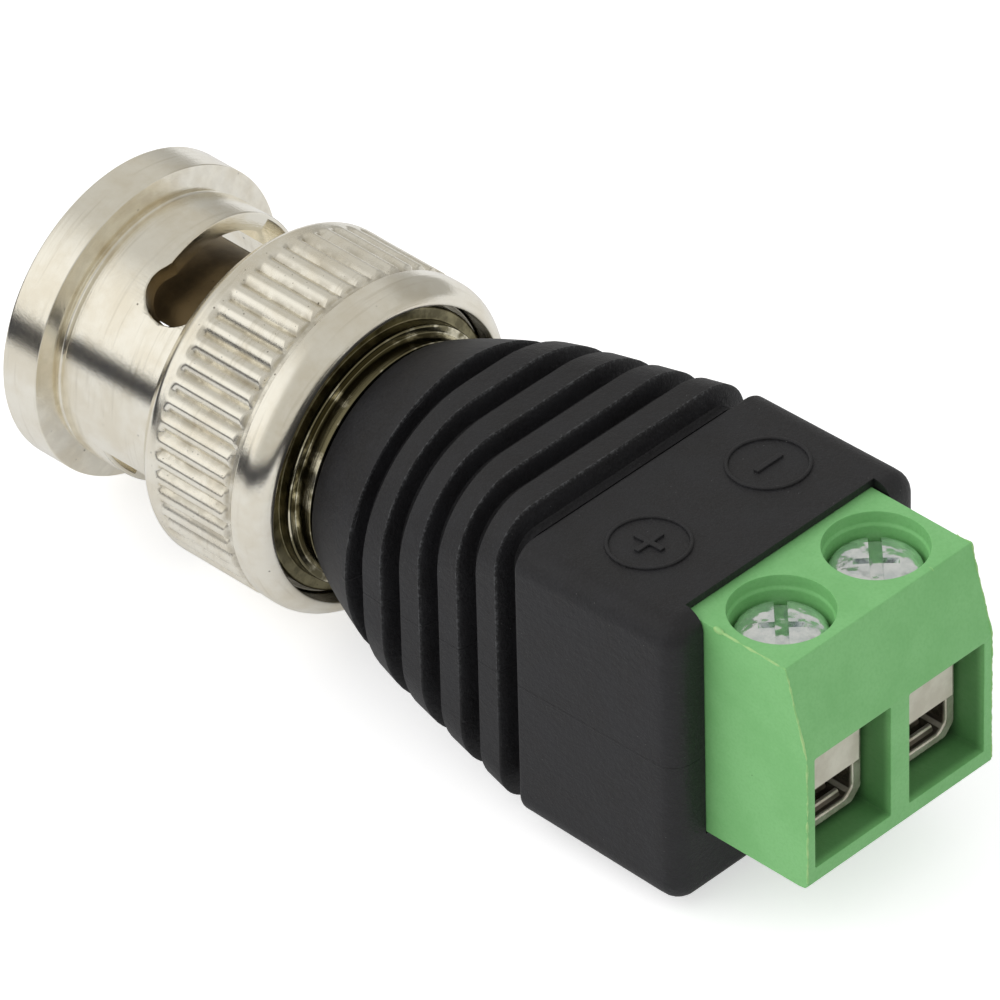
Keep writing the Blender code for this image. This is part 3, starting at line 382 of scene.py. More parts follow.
def spring_steel():
    """Bright rolled strip."""
    f = Finish("spring_steel", Metallic=1.0)
    grain = f.noise(1.0, 3.0, 0.6, f.vector(f.x * 3.0, f.turned * 1.5, f.radius * 24.0))
    base = f.mix(grain, (168, 168, 170), (196, 196, 196))
    return f.done(base, 0.24 + grain * 0.16, (grain, 0.003))


def black_of_housing():
    """Matt black moulded plastic with a fine grain, faint flow lines, dust, and glossy rubbed rib edges,
    lightened as a painted highlight.
    """
    f = Finish("black_of_housing", Specular_IOR_Level=0.42)
    cloud = f.noise(0.6, 4.0, 0.6)
    base = f.mix(f.step(cloud, 0.3, 0.75), (24, 23, 25), (31, 31, 34))
    dust = f.specks(2.3, 0.05) + f.specks(5.5, 0.07) * f.step(f.noise(0.5, 2.0), 0.5, 0.62)
    base = f.mix(f.least(dust, 1.0) * 0.55, base, (150, 150, 148))
    grain = f.noise(11.0, 4.0, 0.65)
    hide = f.noise(3.4, 4.0, 0.6)
    base = f.mix(f.step(grain, 0.42, 0.72) * 0.5, base, (44, 44, 47))
    # Painted highlight: dots along the rear edges of the ribs are lightened, away from the underside, for the
    # gloss of rubbed edges.
    along = f.maths("FRACT", (f.x - COLLAR_END) / RIB_PITCH + 8.0)
    wear_and_sheen = f.band(along, 0.955, 0.985, 0.015) * (1.0 - f.step(f.x, 26.6, 26.8)) * f.step(f.x, 18.0, 18.1)
    wear_and_sheen = wear_and_sheen * f.step(f.noise(8.0, 3.0, 0.6), 0.48, 0.60) * f.step(f.z + f.size(f.y) * 0.35, -2.0, 3.5)
    base = f.mix(wear_and_sheen * 0.35, base, (100, 102, 104))
    flow = f.noise(1.0, 3.0, 0.5, f.vector(f.x * 0.9, f.y * 2.6, f.z * 2.6), 1.2)
    side = f.step(f.size(f.y), 5.2, 5.8) * f.step(f.x, 18.0, 18.4)
    seam = f.band(f.z, -0.03, 0.03, 0.04) * side
    rough = 0.44 + cloud * 0.12 + grain * 0.10
    return f.done(base, rough, (grain, 0.020), (hide, 0.035), (flow, 0.02), (seam, 0.04))


def green_of_block():
    """Satin green moulding: fine flow marks, a few dark and pale specks, and painted shade in its openings.
    """
    f = Finish("green_of_block", Specular_IOR_Level=0.4)
    cloud = f.noise(0.5, 4.0, 0.55)
    base = f.mix(f.step(cloud, 0.35, 0.7), (133, 198, 127), (125, 191, 119))
    base = f.mix(f.specks(0.9, 0.035), base, (52, 92, 46))
    base = f.mix(f.specks(1.3, 0.045) * 0.6, base, (160, 205, 148))
    grain = f.noise(8.0, 4.0, 0.6)
    flow = f.noise(1.0, 3.0, 0.5, f.vector(f.x * 0.5, f.y * 1.3, f.z * 2.2), 0.8)
    fine = f.mix(f.step(grain, 0.4, 0.7) * 0.35, base, (116, 184, 110))
    # Painted shade: the bays are darkened behind their front lip, and painted nearly black far back round the
    # cages.
    across = f.band(f.size(f.size(f.y) - POLE_Y), -1.0, BAY_HALF_WIDTH + 0.03, 0.03)
    bay = across * f.band(f.z, BAY_BOTTOM - 0.05, LINTEL_BOTTOM + 0.04, 0.03)
    fine = f.mix(bay * (1.0 - f.step(f.x, 39.9, 40.3)) * 0.5, fine, (40, 84, 38))
    far_bay_shade = across * (1.0 - f.step(f.x, 38.2, 39.3))
    fine = f.mix(far_bay_shade * f.band(f.z, BAY_BOTTOM - 0.3, 3.3, 0.03) * 0.92, fine, (26, 28, 18))
    return f.done(fine, 0.36 + grain * 0.16, (flow, 0.025), (grain, 0.008))


def green_of_flash():
    """The thin flash on the green block's edges, paler and yellower than the block."""
    f = Finish("green_of_flash")
    cloud = f.noise(2.2, 3.0)
    base = f.mix(f.step(cloud, 0.35, 0.65), (172, 212, 140), (140, 200, 124))
    return f.done(base, 0.4 + cloud * 0.1, (f.noise(9.0), 0.01))


def zinc_of_screw():
    """Bright zinc plate with stamping marks."""
    f = Finish("zinc_of_screw", Metallic=0.88)
    cloud = f.noise(1.6, 4.0, 0.6)
    base = f.mix(f.step(cloud, 0.35, 0.7), (240, 243, 243), (216, 223, 224))
    base = f.mix(f.specks(3.0, 0.12) * 0.7, base, (104, 110, 108))
    dents = f.noise(1.1, 1.5, 0.45)
    grain = f.noise(10.0, 3.0, 0.6)
    return f.done(base, 0.10 + cloud * 0.10, (dents, 0.26), (grain, 0.006))


def nickel_of_cage():
    """Nickel on folded sheet: painted shade inside the cage; its front edge and the tops of its teeth are
    left bright.
    """
    f = Finish("nickel_of_cage", Metallic=0.62)
    cloud = f.noise(1.4, 4.0, 0.6)
    base = f.mix(f.step(cloud, 0.35, 0.7), (226, 220, 206), (190, 182, 166))
    # Painted shade: the cage is painted dark behind its front edge, except on the tops of the teeth.
    inside = 1.0 - f.step(f.x, 38.80, 38.92)
    tops = f.band(f.z, -2.00, -1.90, 0.04)
    base = f.mix(inside * (1.0 - tops) * 0.92, base, (66, 58, 46))
    grain = f.noise(1.0, 3.0, 0.6, f.vector(f.x * 2.0, f.y * 14.0, f.z * 14.0))
    return f.done(base, 0.16 + grain * 0.14, (grain, 0.008))


def tin_of_bar():
    """Dull tin plate with small dark pits."""
    f = Finish("tin_of_bar", Metallic=0.2)
    cloud = f.noise(0.9, 4.0, 0.55)
    base = f.mix(f.step(cloud, 0.35, 0.7), (224, 220, 205), (206, 200, 184))
    pits = f.least(f.specks(2.6, 0.12) + f.specks(4.4, 0.16), 1.0)
    base = f.mix(pits * 0.75, base, (66, 56, 50))
    grain = f.noise(7.0, 3.0, 0.6)
    return f.done(base, 0.44 + grain * 0.14, (grain, 0.008))


def lead_cover(name, colour):
    """Satin insulation of a short lead."""
    f = Finish(name)
    cloud = f.noise(1.5, 3.0)
    base = f.mix(f.step(cloud, 0.3, 0.7), colour, [0.85 * c for c in colour])
    return f.done(base, 0.4 + cloud * 0.15, (f.noise(6.0), 0.01))


class Shape(Tree):
    """A tree of Geometry Nodes that shapes one mesh, with named sizes. It ends in Set Material."""

    def __init__(self, name, **sizes):
        super().__init__(bpy.data.node_groups.new(name, "GeometryNodeTree"))
        face = self.nodes.interface
        face.new_socket(name="Mesh", in_out="OUTPUT", socket_type="NodeSocketGeometry")
        self.sockets = {"Mesh": face.new_socket(name="Mesh", in_out="INPUT",
                                                socket_type="NodeSocketGeometry").identifier}
        for size, value in sizes.items():
            kind = "NodeSocketInt" if isinstance(value, int) else "NodeSocketFloat"
            socket = face.new_socket(name=size, in_out="INPUT", socket_type=kind)
            socket.default_value = value
            self.sockets[size] = socket.identifier
        finish = face.new_socket(name="Finish", in_out="INPUT", socket_type="NodeSocketMaterial")
        self.sockets["Finish"] = finish.identifier
        self.start = self.node("NodeGroupInput", {}, {})

    def given(self, name):
        """One of the tree's inputs."""
        return self.start.out(name)

    def circle(self, corners, radius):
        """The section of a thread or a bead."""
        return self.node("GeometryNodeCurvePrimitiveCircle", {},
                         {"Resolution": corners, "Radius": radius}, "Curve")

    def end(self, mesh):
        """Makes instances real and sets the finish."""
        real = self.node("GeometryNodeRealizeInstances", {}, {"Geometry": mesh})
        done = self.node("GeometryNodeSetMaterial", {}, {"Geometry": real, "Material": self.given("Finish")})
        self.node("NodeGroupOutput", {}, {"Mesh": done})
        return self


def shaped(builder, shape, finish, **sizes):
    """The bmesh after a shape tree has worked on it, with its sizes set before it is evaluated."""
    blank = blank_object(builder, outwards=False)
    modifier = blank.modifiers.new("shape", "NODES")
    modifier.node_group = shape.nodes
    modifier[shape.sockets["Finish"]] = finish
    for name, value in sizes.items():
        modifier[shape.sockets[name]] = value
    return plain_mesh(blank)


def applied(blank):
    """The mesh of a scratch object with its modifiers applied. The object goes."""
    blank.update_tag()
    graph = bpy.context.evaluated_depsgraph_get()
    mesh = bpy.data.meshes.new_from_object(blank.evaluated_get(graph))
    first = blank.data
    bpy.data.objects.remove(blank)
    bpy.data.meshes.remove(first)
    return mesh


def plain_mesh(blank):
    """The same mesh, as a bmesh."""
    mesh = applied(blank)
    builder = bmesh.new()
    builder.from_mesh(mesh)
    bpy.data.meshes.remove(mesh)
    return builder


def straight_knurl():
    """Shape tree that sinks a ring of rounded grooves into a turned blank, between two stations."""
    s = Shape("straight_knurl", Count=KNURL_COUNT, Crest=NUT_RADIUS, Depth=KNURL_DEPTH,
              Start=KNURL_START, End=KNURL_END, Sharpness=KNURL_SHARPNESS)
    spot = s.node("GeometryNodeInputPosition", {}, {})
    x, y, z = spot.parts()
    radius, turned = s.polar(y, z)
    phase = s.maths("FRACT", turned * s.given("Count") / TURN + float(KNURL_COUNT))
    away = s.size(phase - 0.5) * 2.0
    groove = (1.0 - away) ** s.given("Sharpness")
    window = s.step(x, s.given("Start"), s.given("Start") + 0.26)
    window = window * (1.0 - s.step(x, s.given("End"), s.given("End") + 0.02))
    new_radius = s.least(radius, s.given("Crest") - groove * window * s.given("Depth"))
    outside = s.step(radius, s.given("Crest") - 0.5, s.given("Crest") - 0.49)
    ratio = 1.0 + (new_radius / radius - 1.0) * outside
    moved = s.node("GeometryNodeSetPosition", {},
                   {"Geometry": s.given("Mesh"), "Position": s.vector(x, y * ratio, z * ratio)})
    return s.end(moved)


def ring_grooves():
    """Shape tree that sinks evenly spaced grooves into a loft along x, across its surface."""
    s = Shape("ring_grooves", First=COLLAR_END, Pitch=RIB_PITCH, Count=RIB_COUNT + 1, Width=GROOVE_WIDTH,
              Depth=GROOVE_DEPTH, Edge=GROOVE_EDGE)
    x = s.node("GeometryNodeInputPosition", {}, {}).parts()[0]
    normal = s.node("GeometryNodeInputNormal", {}, {})
    across = s.node("ShaderNodeVectorMath", {"operation": "NORMALIZE"}, {0: normal * (0.0, 1.0, 1.0)})
    steps = (x - s.given("First")) / s.given("Pitch")
    whole = s.maths("FLOOR", steps + 0.1)
    along = x - s.given("First") - whole * s.given("Pitch")
    edge = s.given("Edge")
    sunk = s.step(along, -0.06, edge - 0.06) * (1.0 - s.step(along, s.given("Width") - edge + 0.06,
                                                             s.given("Width") + 0.06))
    used = s.step(whole, -0.6, -0.4) * (1.0 - s.step(whole, s.given("Count") - 0.6, s.given("Count") - 0.4))
    moved = s.node("GeometryNodeSetPosition", {},
                   {"Geometry": s.given("Mesh"), "Offset": across * (sunk * used * s.given("Depth") * -1.0)})
    return s.end(moved)


def copies_round_axis():
    """Shape tree that repeats a piece round the plug's axis."""
    s = Shape("copies_round_axis", Count=4)
    line = s.node("GeometryNodeMeshLine", {}, {"Count": s.given("Count"), "Offset": (0.0, 0.0, 0.0)})
    index = s.node("GeometryNodeInputIndex", {}, {})
    angles = s.vector(index * TURN / s.given("Count"), 0.0, 0.0)
    rotation = s.node("FunctionNodeEulerToRotation", {}, {0: angles})
    copies = s.node("GeometryNodeInstanceOnPoints", {},
                    {"Points": line, "Instance": s.given("Mesh"), "Rotation": rotation})
    return s.end(copies)


def row_of_copies():
    """Shape tree that repeats a piece in a straight row along x."""
    s = Shape("row_of_copies", Count=4, Spacing=0.8)
    line = s.node("GeometryNodeMeshLine", {},
                  {"Count": s.given("Count"), "Offset": s.vector(s.given("Spacing"), 0.0, 0.0)})
    copies = s.node("GeometryNodeInstanceOnPoints", {}, {"Points": line, "Instance": s.given("Mesh")})
    return s.end(copies)


def screw_thread():
    """Shape tree that winds a six-sided thread up the z axis, and adds it to its core."""
    s = Shape("screw_thread", Turns=5.0, Radius=1.12, Rise=2.5, Crest=0.16, Bottom=0.0)
    spiral = s.node("GeometryNodeCurveSpiral", {},
                    {"Resolution": 36, "Rotations": s.given("Turns"), "Start Radius": s.given("Radius"),
                     "End Radius": s.given("Radius"), "Height": s.given("Rise"), "Reverse": True})
    wound = s.node("GeometryNodeCurveToMesh", {},
                   {"Curve": spiral, "Profile Curve": s.circle(6, s.given("Crest")), "Fill Caps": True})
    raised = s.node("GeometryNodeSetPosition", {},
                    {"Geometry": wound, "Offset": s.vector(0.0, 0.0, s.given("Bottom"))})
    return s.end(s.node("GeometryNodeJoinGeometry", {}, {"Geometry": [raised, s.given("Mesh")]}))


def ragged_bead():
    """Shape tree that lays a thin uneven bead along the edges of a wire."""
    s = Shape("ragged_bead", Radius=0.06, Spacing=0.1, Wander=0.08, Coarse=1.5)
    path = s.node("GeometryNodeMeshToCurve", {}, {"Mesh": s.given("Mesh")})
    path = s.node("GeometryNodeResampleCurve", {"mode": "LENGTH"},
                  {"Curve": path, "Length": s.given("Spacing")})
    spot = s.node("GeometryNodeInputPosition", {}, {})
    drift = s.node("ShaderNodeTexNoise", {},
                   {"Vector": spot, "Scale": s.given("Coarse"), "Detail": 3.0}, "Color")
    drift = s.node("ShaderNodeVectorMath", {"operation": "SUBTRACT"}, {0: drift, 1: 0.5})
    path = s.node("GeometryNodeSetPosition", {}, {"Geometry": path, "Offset": drift * s.given("Wander")})
    swell = s.node("ShaderNodeTexNoise", {},
                   {"Vector": spot, "Scale": s.given("Coarse") * 1.7, "Detail": 4.0})
    bead = s.node("GeometryNodeCurveToMesh", {},
                  {"Curve": path, "Profile Curve": s.circle(8, s.given("Radius")),
                   "Scale": s.step(swell, 0.34, 0.66) * 0.8 + 0.35, "Fill Caps": True})
    return s.end(bead)


def skin(rings, closed=False, caps=True):
    """Skins a row of rings with quads. A ring of one point is a pole. Open rows may get end caps."""
    builder = bmesh.new()
    rows = [[builder.verts.new(point) for point in ring] for ring in rings]
    if closed:
        rows.append(rows[0])
    for low, high in zip(rows[:-1], rows[1:]):
        count = max(len(low), len(high))
        for i in range(count):
            j = (i + 1) % count
            corners = [low[i % len(low)], low[j % len(low)], high[j % len(high)], high[i % len(high)]]
            corners = list(dict.fromkeys(corners))
            if len(corners) > 2:
                builder.faces.new(corners)
    if caps and not closed:
        for row in (rows[0], rows[-1]):
            if len(row) > 2:
                builder.faces.new(row)
    return builder


def filleted(points, closed=True, steps=4):
    """A flat outline from (a, b, fillet) corners, with each corner rounded by its own fillet."""
    outline = []
    count = len(points)
    for i, (a, b, fillet) in enumerate(points):
        here = Vector((a, b))
        if fillet == 0.0 or (not closed and i in (0, count - 1)):
            outline.append((a, b))
            continue
        back = Vector(points[i - 1][:2]) - here
        ahead = Vector(points[(i + 1) % count][:2]) - here
        first = here + back.normalized() * min(fillet, 0.49 * back.length)
        last = here + ahead.normalized() * min(fillet, 0.49 * ahead.length)
        for step in range(steps + 1):
            t = step / steps
            spot = first * (1.0 - t) ** 2 + here * 2.0 * t * (1.0 - t) + last * t ** 2
            outline.append((spot.x, spot.y))
    return outline


def round_axis(x, radius, angle):
    """A point at an angle round the plug's axis."""
    return Vector((x, radius * math.cos(angle), radius * math.sin(angle)))


def turn(builder, angle, axis):
    bmesh.ops.rotate(builder, verts=builder.verts, matrix=Matrix.Rotation(angle, 3, axis))


def shift(builder, way):
    bmesh.ops.translate(builder, verts=builder.verts, vec=way)


def turned_x(profile, segments, closed=True):
    """A solid turned about the x axis from (x, radius) points."""
    rings = []
    for x, radius in profile:
        angles = [TURN * i / segments for i in range(segments)] if radius else [0.0]
        rings.append([round_axis(x, radius, angle) for angle in angles])
    return skin(rings, closed)


def turned_z(profile, segments, centre=(0.0, 0.0, 0.0)):
    """A solid turned about an upright axis from (z, radius) points, closed at both ends."""
    builder = turned_x(profile, segments, closed=False)
    turn(builder, -0.5 * math.pi, "Y")
    shift(builder, centre)
    return builder


def box(low, high):
    """A box between two opposite corners."""
    builder = bmesh.new()
    size = Vector(high) - Vector(low)
    centre = 0.5 * (Vector(high) + Vector(low))
    place = Matrix.Translation(centre) @ Matrix.Diagonal((*size, 1.0))
    bmesh.ops.create_cube(builder, size=1.0, matrix=place)
    return builder


def prism(outline, place, low, high):
    """A flat outline carried from low to high, by a mapping of (a, b, t) to a point."""
    return skin([[Vector(place(a, b, t)) for a, b in outline] for t in (low, high)])


def upright(a, b, t):
    """Puts an outline in the plane of x and z, and carries it along y."""
    return a, t, b


def lengthwise(a, b, t):
    """Puts an outline in the plane of y and z, and carries it along x."""
    return t, a, b


def joined(*builders):
    """Several bmeshes in one."""
    whole = bmesh.new()
    for builder in builders:
        scratch = bpy.data.meshes.new("scratch")
        builder.to_mesh(scratch)
        builder.free()
        whole.from_mesh(scratch)
        bpy.data.meshes.remove(scratch)
    return whole


def blank_object(builder, outwards=True):
    """A bmesh as a scratch object, its faces turned to point outwards."""
    if outwards:
        bmesh.ops.recalc_face_normals(builder, faces=builder.faces)
    mesh = bpy.data.meshes.new("blank")
    builder.to_mesh(mesh)
    builder.free()
    blank = bpy.data.objects.new("blank", mesh)
    bpy.context.collection.objects.link(blank)
    return blank


def cut(builder, tool, operation="DIFFERENCE"):
    """Cuts a solid out of another one, or joins it on."""
    blank = blank_object(builder)
    knife = blank_object(tool)
    modifier = blank.modifiers.new("cut", "BOOLEAN")
    modifier.operation = operation
    modifier.solver = "EXACT"
    modifier.object = knife
    result = plain_mesh(blank)
    mesh = knife.data
    bpy.data.objects.remove(knife)
    bpy.data.meshes.remove(mesh)
    return result


def eased(builder, width, steps=2, above=30.0):
    """Rounds every edge that is sharper than the given angle."""
    bmesh.ops.remove_doubles(builder, verts=builder.verts, dist=0.0005)
    blank = blank_object(builder)
    modifier = blank.modifiers.new("ease", "BEVEL")
    modifier.width = width
    modifier.segments = steps
    modifier.limit_method = "ANGLE"
    modifier.angle_limit = math.radians(above)
    modifier.miter_outer = "MITER_ARC"
    return plain_mesh(blank)


def settle(name, builder, finish, body, nodes=(), sharp=38.0):
    """Takes a finished shape to its place in the frame as one piece on its body."""
    bmesh.ops.remove_doubles(builder, verts=builder.verts, dist=0.0004)
    bmesh.ops.dissolve_degenerate(builder, edges=builder.edges, dist=0.0002)
    blank = blank_object(builder)
    blank.data.shade_smooth()
    blank.data.set_sharp_from_angle(angle=math.radians(sharp))
    modifier = blank.modifiers.new("even", "WEIGHTED_NORMAL")
    modifier.keep_sharp = True
    mesh = applied(blank)
    mesh.name = name
    mesh.materials.clear()
    mesh.materials.append(finish)
    place = Matrix.Scale(0.001, 4) @ Matrix.Translation((-HALF_LENGTH, 0.0, AXIS_HEIGHT))
    mesh.transform(place)
    piece = bpy.data.objects.new(name, mesh)
    bpy.context.collection.objects.link(piece)
    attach(piece, body)
    if nodes:
        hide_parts(*nodes)


def nut_profile():
    """The nut's section: the outer side from the mouth to the rear, then back along the bore."""
    corners = [
        (0.0, BARREL_BORE + 0.42, 0.08), (0.0, FLANGE_RADIUS, 0.13), (1.79, FLANGE_RADIUS, 0.05),
        (1.93, 5.95, 0.2), (2.02, 5.47, 0.10), (2.26, 5.47, 0.06), (2.36, BARREL_RADIUS, 0.05),
        (4.9, BARREL_RADIUS, 0.0), (7.66, BARREL_RADIUS, 0.16), (7.70, 6.60, 0.10), (8.18, NUT_RADIUS, 0.22),
    ]
    outer = filleted(corners + [(8.5, NUT_RADIUS, 0.0)], closed=False)
    for x in (8.62, 8.68, 8.74, 8.80, 8.86, 8.92, 8.98, 9.04, 9.12, 9.6, 10.1, 10.6, 11.1, 11.6, 12.05):
        outer.append((x, NUT_RADIUS))
    rear = [
        (12.1, NUT_RADIUS, 0.0), (12.22, NUT_RADIUS, 0.09), (12.40, 6.74, 0.06), (12.69, 6.76, 0.03),
        (12.72, NUT_RADIUS - 0.01, 0.05), (13.45, NUT_RADIUS, 0.3), (14.02, 6.62, 0.25),
        (NUT_LENGTH, 6.28, 0.08), (NUT_LENGTH, RECESS_RADIUS, 0.05), (13.2, RECESS_RADIUS, 0.1),
        (13.2, HUB_BORE, 0.05), (12.58, HUB_BORE, 0.05), (12.58, BARREL_BORE, 0.1),
        (0.35, BARREL_BORE, 0.05), (0.0, BARREL_BORE + 0.42, 0.0),
    ]
    inner = filleted(rear, closed=False)[1:-1]
    return outer + inner


def slot_cutter():
    """The two bayonet slots, wrapped round the barrel, with a small chamfer on their outer edge."""
    half = 0.5 * (SLOT_REAR - SLOT_FRONT - 0.37)
    middle = SLOT_REAR - half
    flare = 0.10
    reach = half / BARREL_RADIUS
    wide_reach = (half + flare) / BARREL_RADIUS
    start = SLOT_ENTRY - 1.2 / BARREL_RADIUS
    seat = SLOT_ENTRY + SLOT_TURN
    hump = seat - 0.56 * reach
    angles = [start + (seat - start) * i / 44.0 for i in range(45)]
    angles += [seat + wide_reach * math.sin(0.5 * math.pi * i / 14.0) for i in range(1, 15)]
    pieces = []
    for half_turn in (0.0, math.pi):
        rings = []
        for angle in angles:
            if angle <= hump:
                share = max(0.0, (angle - start) / (hump - start))
                front, rear = SLOT_FRONT + 0.63 * share ** 1.6, SLOT_REAR
                wide_front, wide_rear = front - flare, rear + flare
            elif angle <= seat + 1e-9:
                share = (angle - hump) / (seat - hump)
                front = SLOT_FRONT + 0.63 + (0.37 - 0.63) * math.sin(0.5 * math.pi * share)
                rear = SLOT_REAR
                wide_front, wide_rear = front - flare, rear + flare
            else:
                away = angle - seat
                chord = half * math.sqrt(max(0.0, 1.0 - (away / reach) ** 2))
                wide = (half + flare) * math.sqrt(max(0.0, 1.0 - (away / wide_reach) ** 2))
                chord, wide = max(chord, 0.012), max(wide, 0.015)
                front, rear = middle - chord, middle + chord
                wide_front, wide_rear = middle - wide, middle + wide
            edge = ((front, 4.6), (front, BARREL_RADIUS - 0.07), (wide_front, BARREL_RADIUS + 0.04),
                    (wide_rear, BARREL_RADIUS + 0.04), (rear, BARREL_RADIUS - 0.07), (rear, 4.6))
            rings.append([round_axis(x, radius, angle + half_turn) for x, radius in edge])
        pieces.append(skin(rings))
    return joined(*pieces)


def entry_cutter():
    """The two grooves that let the lugs in from the mouth, which just break into the undercut."""
    reach = 1.2 / 5.5
    pieces = []
    for half_turn in (0.0, math.pi):
        rings = []
        for i in range(9):
            angle = SLOT_ENTRY + reach * (i / 4.0 - 1.0) + half_turn
            edge = ((-0.35, 4.6), (-0.35, 5.5), (5.1, 5.5), (5.1, 4.6))
            rings.append([round_axis(x, radius, angle) for x, radius in edge])
        pieces.append(skin(rings))
    return joined(*pieces)


def make_coupling_nut(finish):
    """The turning nut: a turned blank with its knurl, its bayonet slots and the grooves that lead to them."""
    nut = turned_x(nut_profile(), NUT_SEGMENTS)
    nut = shaped(nut, straight_knurl(), finish, Count=KNURL_COUNT, Crest=NUT_RADIUS,
                 Depth=KNURL_DEPTH, Start=KNURL_START, End=KNURL_END, Sharpness=KNURL_SHARPNESS)
    nut = cut(nut, slot_cutter())
    nut = cut(nut, entry_cutter())
    settle("nut_turned", nut, finish, "nut", ["coupling_nut"], 50.0)


def make_plug_body(finish):
    """The metal body of the plug, with four slots in its sprung sleeve."""
    body = filleted([
        (2.0, 3.75, 0.1), (2.28, 4.05, 0.1), (10.07, 4.05, 0.06), (10.07, 4.8, 0.08), (11.62, 4.8, 0.06),
        (11.62, 3.9, 0.05), (14.9, 3.9, 0.05), (14.9, 3.3, 0.03), (15.6, 3.3, 0.04), (15.6, 3.0, 0.04),
        (16.8, 3.0, 0.04), (16.8, 3.3, 0.04), (18.3, 3.3, 0.05), (18.3, 2.65, 0.04), (10.55, 2.65, 0.02),
        (10.55, 3.45, 0.04), (2.28, 3.45, 0.1),
    ], steps=3)
    plug = turned_x(body, 144)
    slot = box((1.4, -0.25, 2.85), (7.4, 0.25, 4.65))
    slots = shaped(slot, copies_round_axis(), finish, Count=4)
    turn(slots, TURN / 8.0, "X")
    plug = cut(plug, slots)
    settle("plug_sleeve", plug, finish, "body", ["plug_body"])


def make_bushing(finish):
    """The stepped collar behind the nut, with a bright neck that goes into the housing."""
    profile = filleted([
        (13.3, 3.95, 0.04), (13.3, 5.9, 0.06), (13.7, 5.9, 0.1), (13.72, 5.4, 0.06), (14.24, 5.4, 0.1),
        (14.26, 5.08, 0.05), (14.98, 5.03, 0.05), (14.98, 3.95, 0.04)], steps=3)
    settle("bushing_turned", turned_x(profile, 144), finish, "body", ["rear_bushing"])


def section(x, half_width, half_height, corner, steps=15):
    """One ring of a rectangle with round corners, across the axis."""
    corner = min(corner, half_width, half_height)
    ring = []
    for quarter, (side_y, side_z) in enumerate(((1, 1), (-1, 1), (-1, -1), (1, -1))):
        for step in range(steps + 1):
            angle = 0.5 * math.pi * (quarter + step / steps)
            ring.append(Vector((x, side_y * (half_width - corner) + corner * math.cos(angle),
                                side_z * (half_height - corner) + corner * math.sin(angle))))
    return ring


def neck_ring(x):
    """The neck's crest at a station: a cone first, then ribs that turn from round to square."""
    if x <= COLLAR_END:
        share = (x - COLLAR_START) / (COLLAR_END - COLLAR_START)
        size = COLLAR_FRONT_RADIUS + (COLLAR_REAR_RADIUS - COLLAR_FRONT_RADIUS) * share ** 0.8
        if x < COLLAR_START + 0.3:
            nose = 1.0 - (x - COLLAR_START) / 0.3
            size -= 0.3 * (1.0 - math.sqrt(max(0.0, 1.0 - nose * nose)))
        return section(x, size, size, size)
    share = min(1.0, (x - COLLAR_END) / RIB_PITCH)
    size = COLLAR_REAR_RADIUS + (RIB_HALF_SIZE - COLLAR_REAR_RADIUS) * share
    corner = 6.2 + (1.6 - 6.2) * min(1.0, (x - COLLAR_END) / (BOX_START - COLLAR_END))
    return section(x, size, size, corner)


def box_ring(x, drop):
    """One ring of the housing's box, which is a little taller at its rear."""
    share = (x - BOX_START) / (BOX_END - BOX_START)
    width = BOX_FRONT_HALF[0] + (BOX_REAR_HALF[0] - BOX_FRONT_HALF[0]) * share - drop
    height = BOX_FRONT_HALF[1] + (BOX_REAR_HALF[1] - BOX_FRONT_HALF[1]) * share - drop
    return section(x, width, height, max(BOX_CORNER - drop, 0.33))


def housing_neck(finish):
    """The ribbed neck, with its grooves sunk into a smooth loft."""
    stations = [COLLAR_START + 0.3 * s for s in (0.0, 0.08, 0.25, 0.5, 0.75, 1.0)]
    stations += [COLLAR_START + 0.3 + (COLLAR_END - COLLAR_START - 0.5) * s / 10.0 for s in range(1, 11)]
    for groove in range(RIB_COUNT + 1):
        front = COLLAR_END + groove * RIB_PITCH
        for offset in (-0.10, -0.06, -0.03, 0.0, 0.03, 0.06, 0.09, 0.12, 0.16, 0.22, 0.32, 0.45, 0.58, 0.68,
                       0.74, 0.78, 0.81, 0.84, 0.87, 0.90, 0.93, 0.96, 1.0, 1.2, 1.45, 1.7):
            if groove < RIB_COUNT or offset < 0.5:
                stations.append(front + offset)
    stations.append(BOX_START - 0.35)
    stations.sort()
    neck = skin([neck_ring(x) for x in stations])
    return shaped(neck, ring_grooves(), finish, First=COLLAR_END, Pitch=RIB_PITCH, Count=RIB_COUNT + 1,
                  Width=GROOVE_WIDTH, Depth=GROOVE_DEPTH, Edge=GROOVE_EDGE)


def housing_box():
    """The box, with a small round on its front edge and a larger one on its rear edge."""
    rings = [box_ring(BOX_START - 0.5, 1.4)]
    for step in range(6):
        angle = 0.5 * math.pi * step / 5.0
        rings.append(box_ring(BOX_START + 0.2 * (1.0 - math.cos(angle)), 0.2 * (1.0 - math.sin(angle))))
    rings.insert(1, box_ring(BOX_START, 1.0))
    for step in range(1, 9):
        rings.append(box_ring(BOX_START + 0.2 + 6.7 * step / 8.0, 0.0))
    for step in range(1, 9):
        angle = 0.5 * math.pi * step / 8.0
        rings.append(box_ring(BOX_END - 0.9 * (1.0 - math.sin(angle)), 0.9 * (1.0 - math.cos(angle))))
    return skin(rings)


